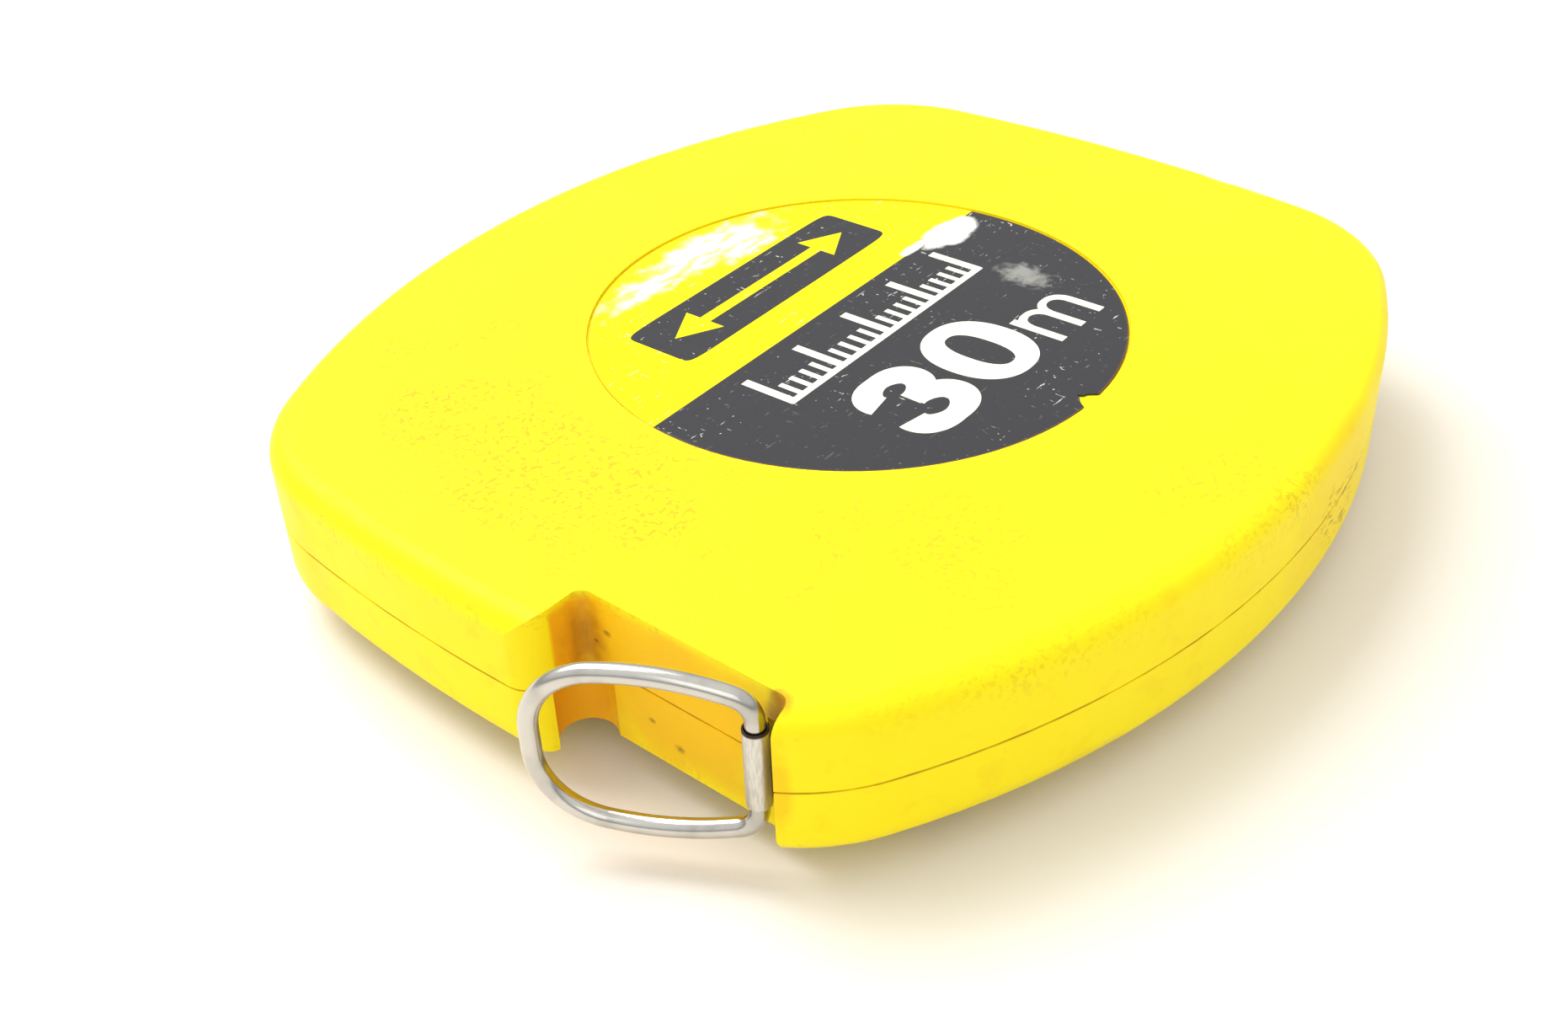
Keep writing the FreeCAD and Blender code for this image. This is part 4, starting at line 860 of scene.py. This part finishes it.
# %% Sleeve finish
def sleeve_finish():
    """Dull plate with painted shade round the sleeve's upper mouth, where the wire bends into it, and down
    its side that faces the notch wall.
    """
    finish = Finish("sleeve_plate", metallic=0.9)
    rubbed = finish.ramp(finish.noise(0.6 * MM, 5.0, stretch=(3, 3, 0.4)), 0.42, 0.62)
    colour = finish.mix(rubbed, (0.66, 0.64, 0.58), (0.56, 0.54, 0.48))
    # Painted shade: the sleeve's upper end goes near black where the wire enters the gap at its mouth.
    upper_end = MIDDLE_Z + ROLL_UP
    mouth = finish.ramp(finish.axis("Z"), upper_end - 0.5 * MM, upper_end - 0.2 * MM)
    # Painted shade down the sleeve's side that faces the notch wall and the lip.
    shaded_side_middle = (ring_hinge.x + 2 * MM, ring_hinge.y - 1.2 * MM, MIDDLE_Z)
    side = finish.patch(shaded_side_middle, at(1.6, 1.6, 9), ragged=0.3)
    painted_shade = finish.maths("MAXIMUM", mouth, finish.maths("MULTIPLY", side, 0.7))
    finish.set("Base Color", finish.mix(painted_shade, colour, (0.05, 0.035, 0.025)))
    finish.set("Roughness", finish.maths("ADD", finish.maths("MULTIPLY", rubbed, 0.12), 0.36))
    finish.bump(finish.noise(0.8 * MM, 4.0), 0.01 * MM, 0.4)
    return finish.material


sleeve_nickel = sleeve_finish()
strip_points, strip_faces = end_sleeve()
piece(
    "sleeve", strip_points, strip_faces, "blade_end", "nickel_plate", sleeve_nickel,
    replaces=("end_sleeve",), sharp=50,
)

# %% [markdown]
# ## Crank knob
# The knob is gripped by two fingers, so its waist carries shallow flutes. It is a turned shape whose
# radius also depends on the angle: a profile of radius against height, less a wave that fades at both
# ends. A well in its top shows the head of its stud.

# %% Crank knob
knob_low, knob_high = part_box("crank_knob")
KNOB_MIDDLE = (knob_low + knob_high) / 2
KNOB_RADIUS = (knob_high.x - knob_low.x) / 2
KNOB_BORE = 1.6 * MM
KNOB_WELL = 3.0 * MM
KNOB_SEAT = 1.7 * MM
FLUTES = 18
FLUTE_DEEP = 0.35 * MM
WAIST_DEEP = 0.45 * MM
KNOB_SOFT = 0.7 * MM
WELL_SOFT = 0.2 * MM


def crank_knob(spokes=360):
    """Rows of the profile from the bore's lower end, out, up the grip, over, and down the well."""
    tall = knob_high.z - knob_low.z
    rise = np.linspace(0, 1, 28)
    soft = KNOB_SOFT
    grip = KNOB_RADIUS - WAIST_DEEP * np.sin(np.pi * rise) ** 2
    corner = np.linspace(0, np.pi / 2, 7)
    inner = KNOB_RADIUS - soft
    profile = [(KNOB_BORE, 0), (inner, 0)]
    profile += [(inner + soft * math.sin(a), soft - soft * math.cos(a)) for a in corner[1:]]
    profile += [(r, soft + (tall - 2 * soft) * share) for r, share in zip(grip[1:-1], rise[1:-1])]
    profile += [(inner + soft * math.cos(a), tall - soft + soft * math.sin(a)) for a in corner]
    profile += [(KNOB_WELL + WELL_SOFT, tall), (KNOB_WELL, tall - WELL_SOFT)]
    profile += [(KNOB_WELL, tall - KNOB_SEAT), (KNOB_BORE, tall - KNOB_SEAT)]
    radius, height = np.array(profile).T
    angle = np.linspace(0, 2 * np.pi, spokes, endpoint=False)
    along = np.clip(height / tall, 0, 1)
    fade = np.clip(np.sin(np.pi * along), 0, 1) ** 0.5 * (radius > KNOB_WELL + soft)
    wave = (0.5 + 0.5 * np.cos(FLUTES * angle)) ** 2
    rim = radius[:, None] - FLUTE_DEEP * fade[:, None] * wave[None, :]
    x = KNOB_MIDDLE.x + rim * np.cos(angle)
    y = KNOB_MIDDLE.y + rim * np.sin(angle)
    z = np.broadcast_to((knob_low.z + height)[:, None], x.shape)
    return np.stack((x, y, z), -1), quads(len(profile), spokes, wrap_rows=True, wrap_columns=True)


piece("knob_grip", *crank_knob(), "knob", "hub_black", hub_black, replaces=("crank_knob",), sharp=45)

# %% [markdown]
# ## Finishes for the packed nodes
# The other pieces keep the shape they were packed with, down to the drum that nobody sees. A table of
# node and finish gives each its material.

# %% Finishes for the packed nodes
NODE_FINISHES = {
    case_yellow: ("case_top", "case_bottom"),
    nickel: ("end_ring", "crank_arm", "knob_stud"),
    steel: ("mouth_liner", "spring_washer", "crank_pin", "crank_leaf", "end_rivets"),
    zinc: ("case_screws", "hub_screws"),
    brass: ("axle_bush",),
    nylon: ("hub_bush", "coil_disc_upper", "coil_disc_lower", "thrust_ring", "knob_washer"),
    core_plastic: ("drum_core", "blade_key"),
    hub_black: ("crank_hub",),
    blade_scale: ("blade_lead",),
    blade_lacquer: ("blade_coil",),
}
for finish, names in NODE_FINISHES.items():
    for name in names:
        mesh = nodes[name].data
        mesh.materials.clear()
        mesh.materials.append(finish)
print("nodes given a finish:", sum(len(names) for names in NODE_FINISHES.values()))

# %% [markdown]
# ## Studio
# A pale floor, an almost even white sky, a large soft light behind the tape and a weaker one in front.
# Bright plastic reads as bright only when the view keeps its colour, so the plain Standard view is used.
# The sky is darker low down, which gives the plated wire something to mirror.

# %% Floor
FLOOR_HALF = 3.0
FLOOR_Z = -0.02 * MM


def floor():
    """One wide square just under the tape."""
    mesh = bpy.data.meshes.new("floor")
    corners = [(-1, -1), (1, -1), (1, 1), (-1, 1)]
    points = [(x * FLOOR_HALF, y * FLOOR_HALF, FLOOR_Z) for x, y in corners]
    mesh.from_pydata(points, [], [(0, 1, 2, 3)])
    ground = bpy.data.objects.new("floor", mesh)
    bpy.context.scene.collection.objects.link(ground)
    finish = Finish("floor_paper", roughness=0.7)
    finish.set("Base Color", finish.mix(finish.noise(60 * MM), (0.84, 0.80, 0.74), (0.83, 0.79, 0.73)))
    mesh.materials.append(finish.material)


floor()
print("floor", 2 * FLOOR_HALF, "m wide")

# %% Sky and lights
SKY = ((0.0, 0.62), (0.12, 0.42), (0.35, 0.90), (1.0, 1.08))


def sky():
    """A world that is dim low down and bright above: grey levels of SKY against height."""
    world = bpy.data.worlds.new("sky")
    bpy.context.scene.world = world
    world.use_nodes = True
    tree = world.node_tree
    direction = tree.nodes.new("ShaderNodeTexCoord")
    split = tree.nodes.new("ShaderNodeSeparateXYZ")
    tree.links.new(direction.outputs["Generated"], split.inputs[0])
    ramp = tree.nodes.new("ShaderNodeValToRGB")
    tree.links.new(split.outputs["Z"], ramp.inputs["Fac"])
    while len(ramp.color_ramp.elements) < len(SKY):
        ramp.color_ramp.elements.new(0.5)
    for element, (position, level) in zip(ramp.color_ramp.elements, SKY):
        element.position = position
        element.color = (level, level, level, 1.0)
    tree.links.new(ramp.outputs["Color"], tree.nodes["Background"].inputs["Color"])
    tree.nodes["Background"].inputs["Strength"].default_value = 1.0


def soft_light(name, place, size, power):
    """A square lamp that faces the tape."""
    lamp = bpy.data.lights.new(name, "AREA")
    lamp.energy = power
    lamp.size = size
    made = bpy.data.objects.new(name, lamp)
    made.location = place
    made.rotation_euler = (-Vector(place)).to_track_quat("-Z", "Y").to_euler()
    bpy.context.scene.collection.objects.link(made)


sky()
soft_light("behind", (-0.05, 0.32, 0.50), 0.45, 3.5)
soft_light("front", (-0.55, -0.45, 0.55), 0.5, 0.7)
bpy.context.scene.view_settings.view_transform = "Standard"
bpy.context.scene.view_settings.look = "None"
print("lights:", len(bpy.data.lights))
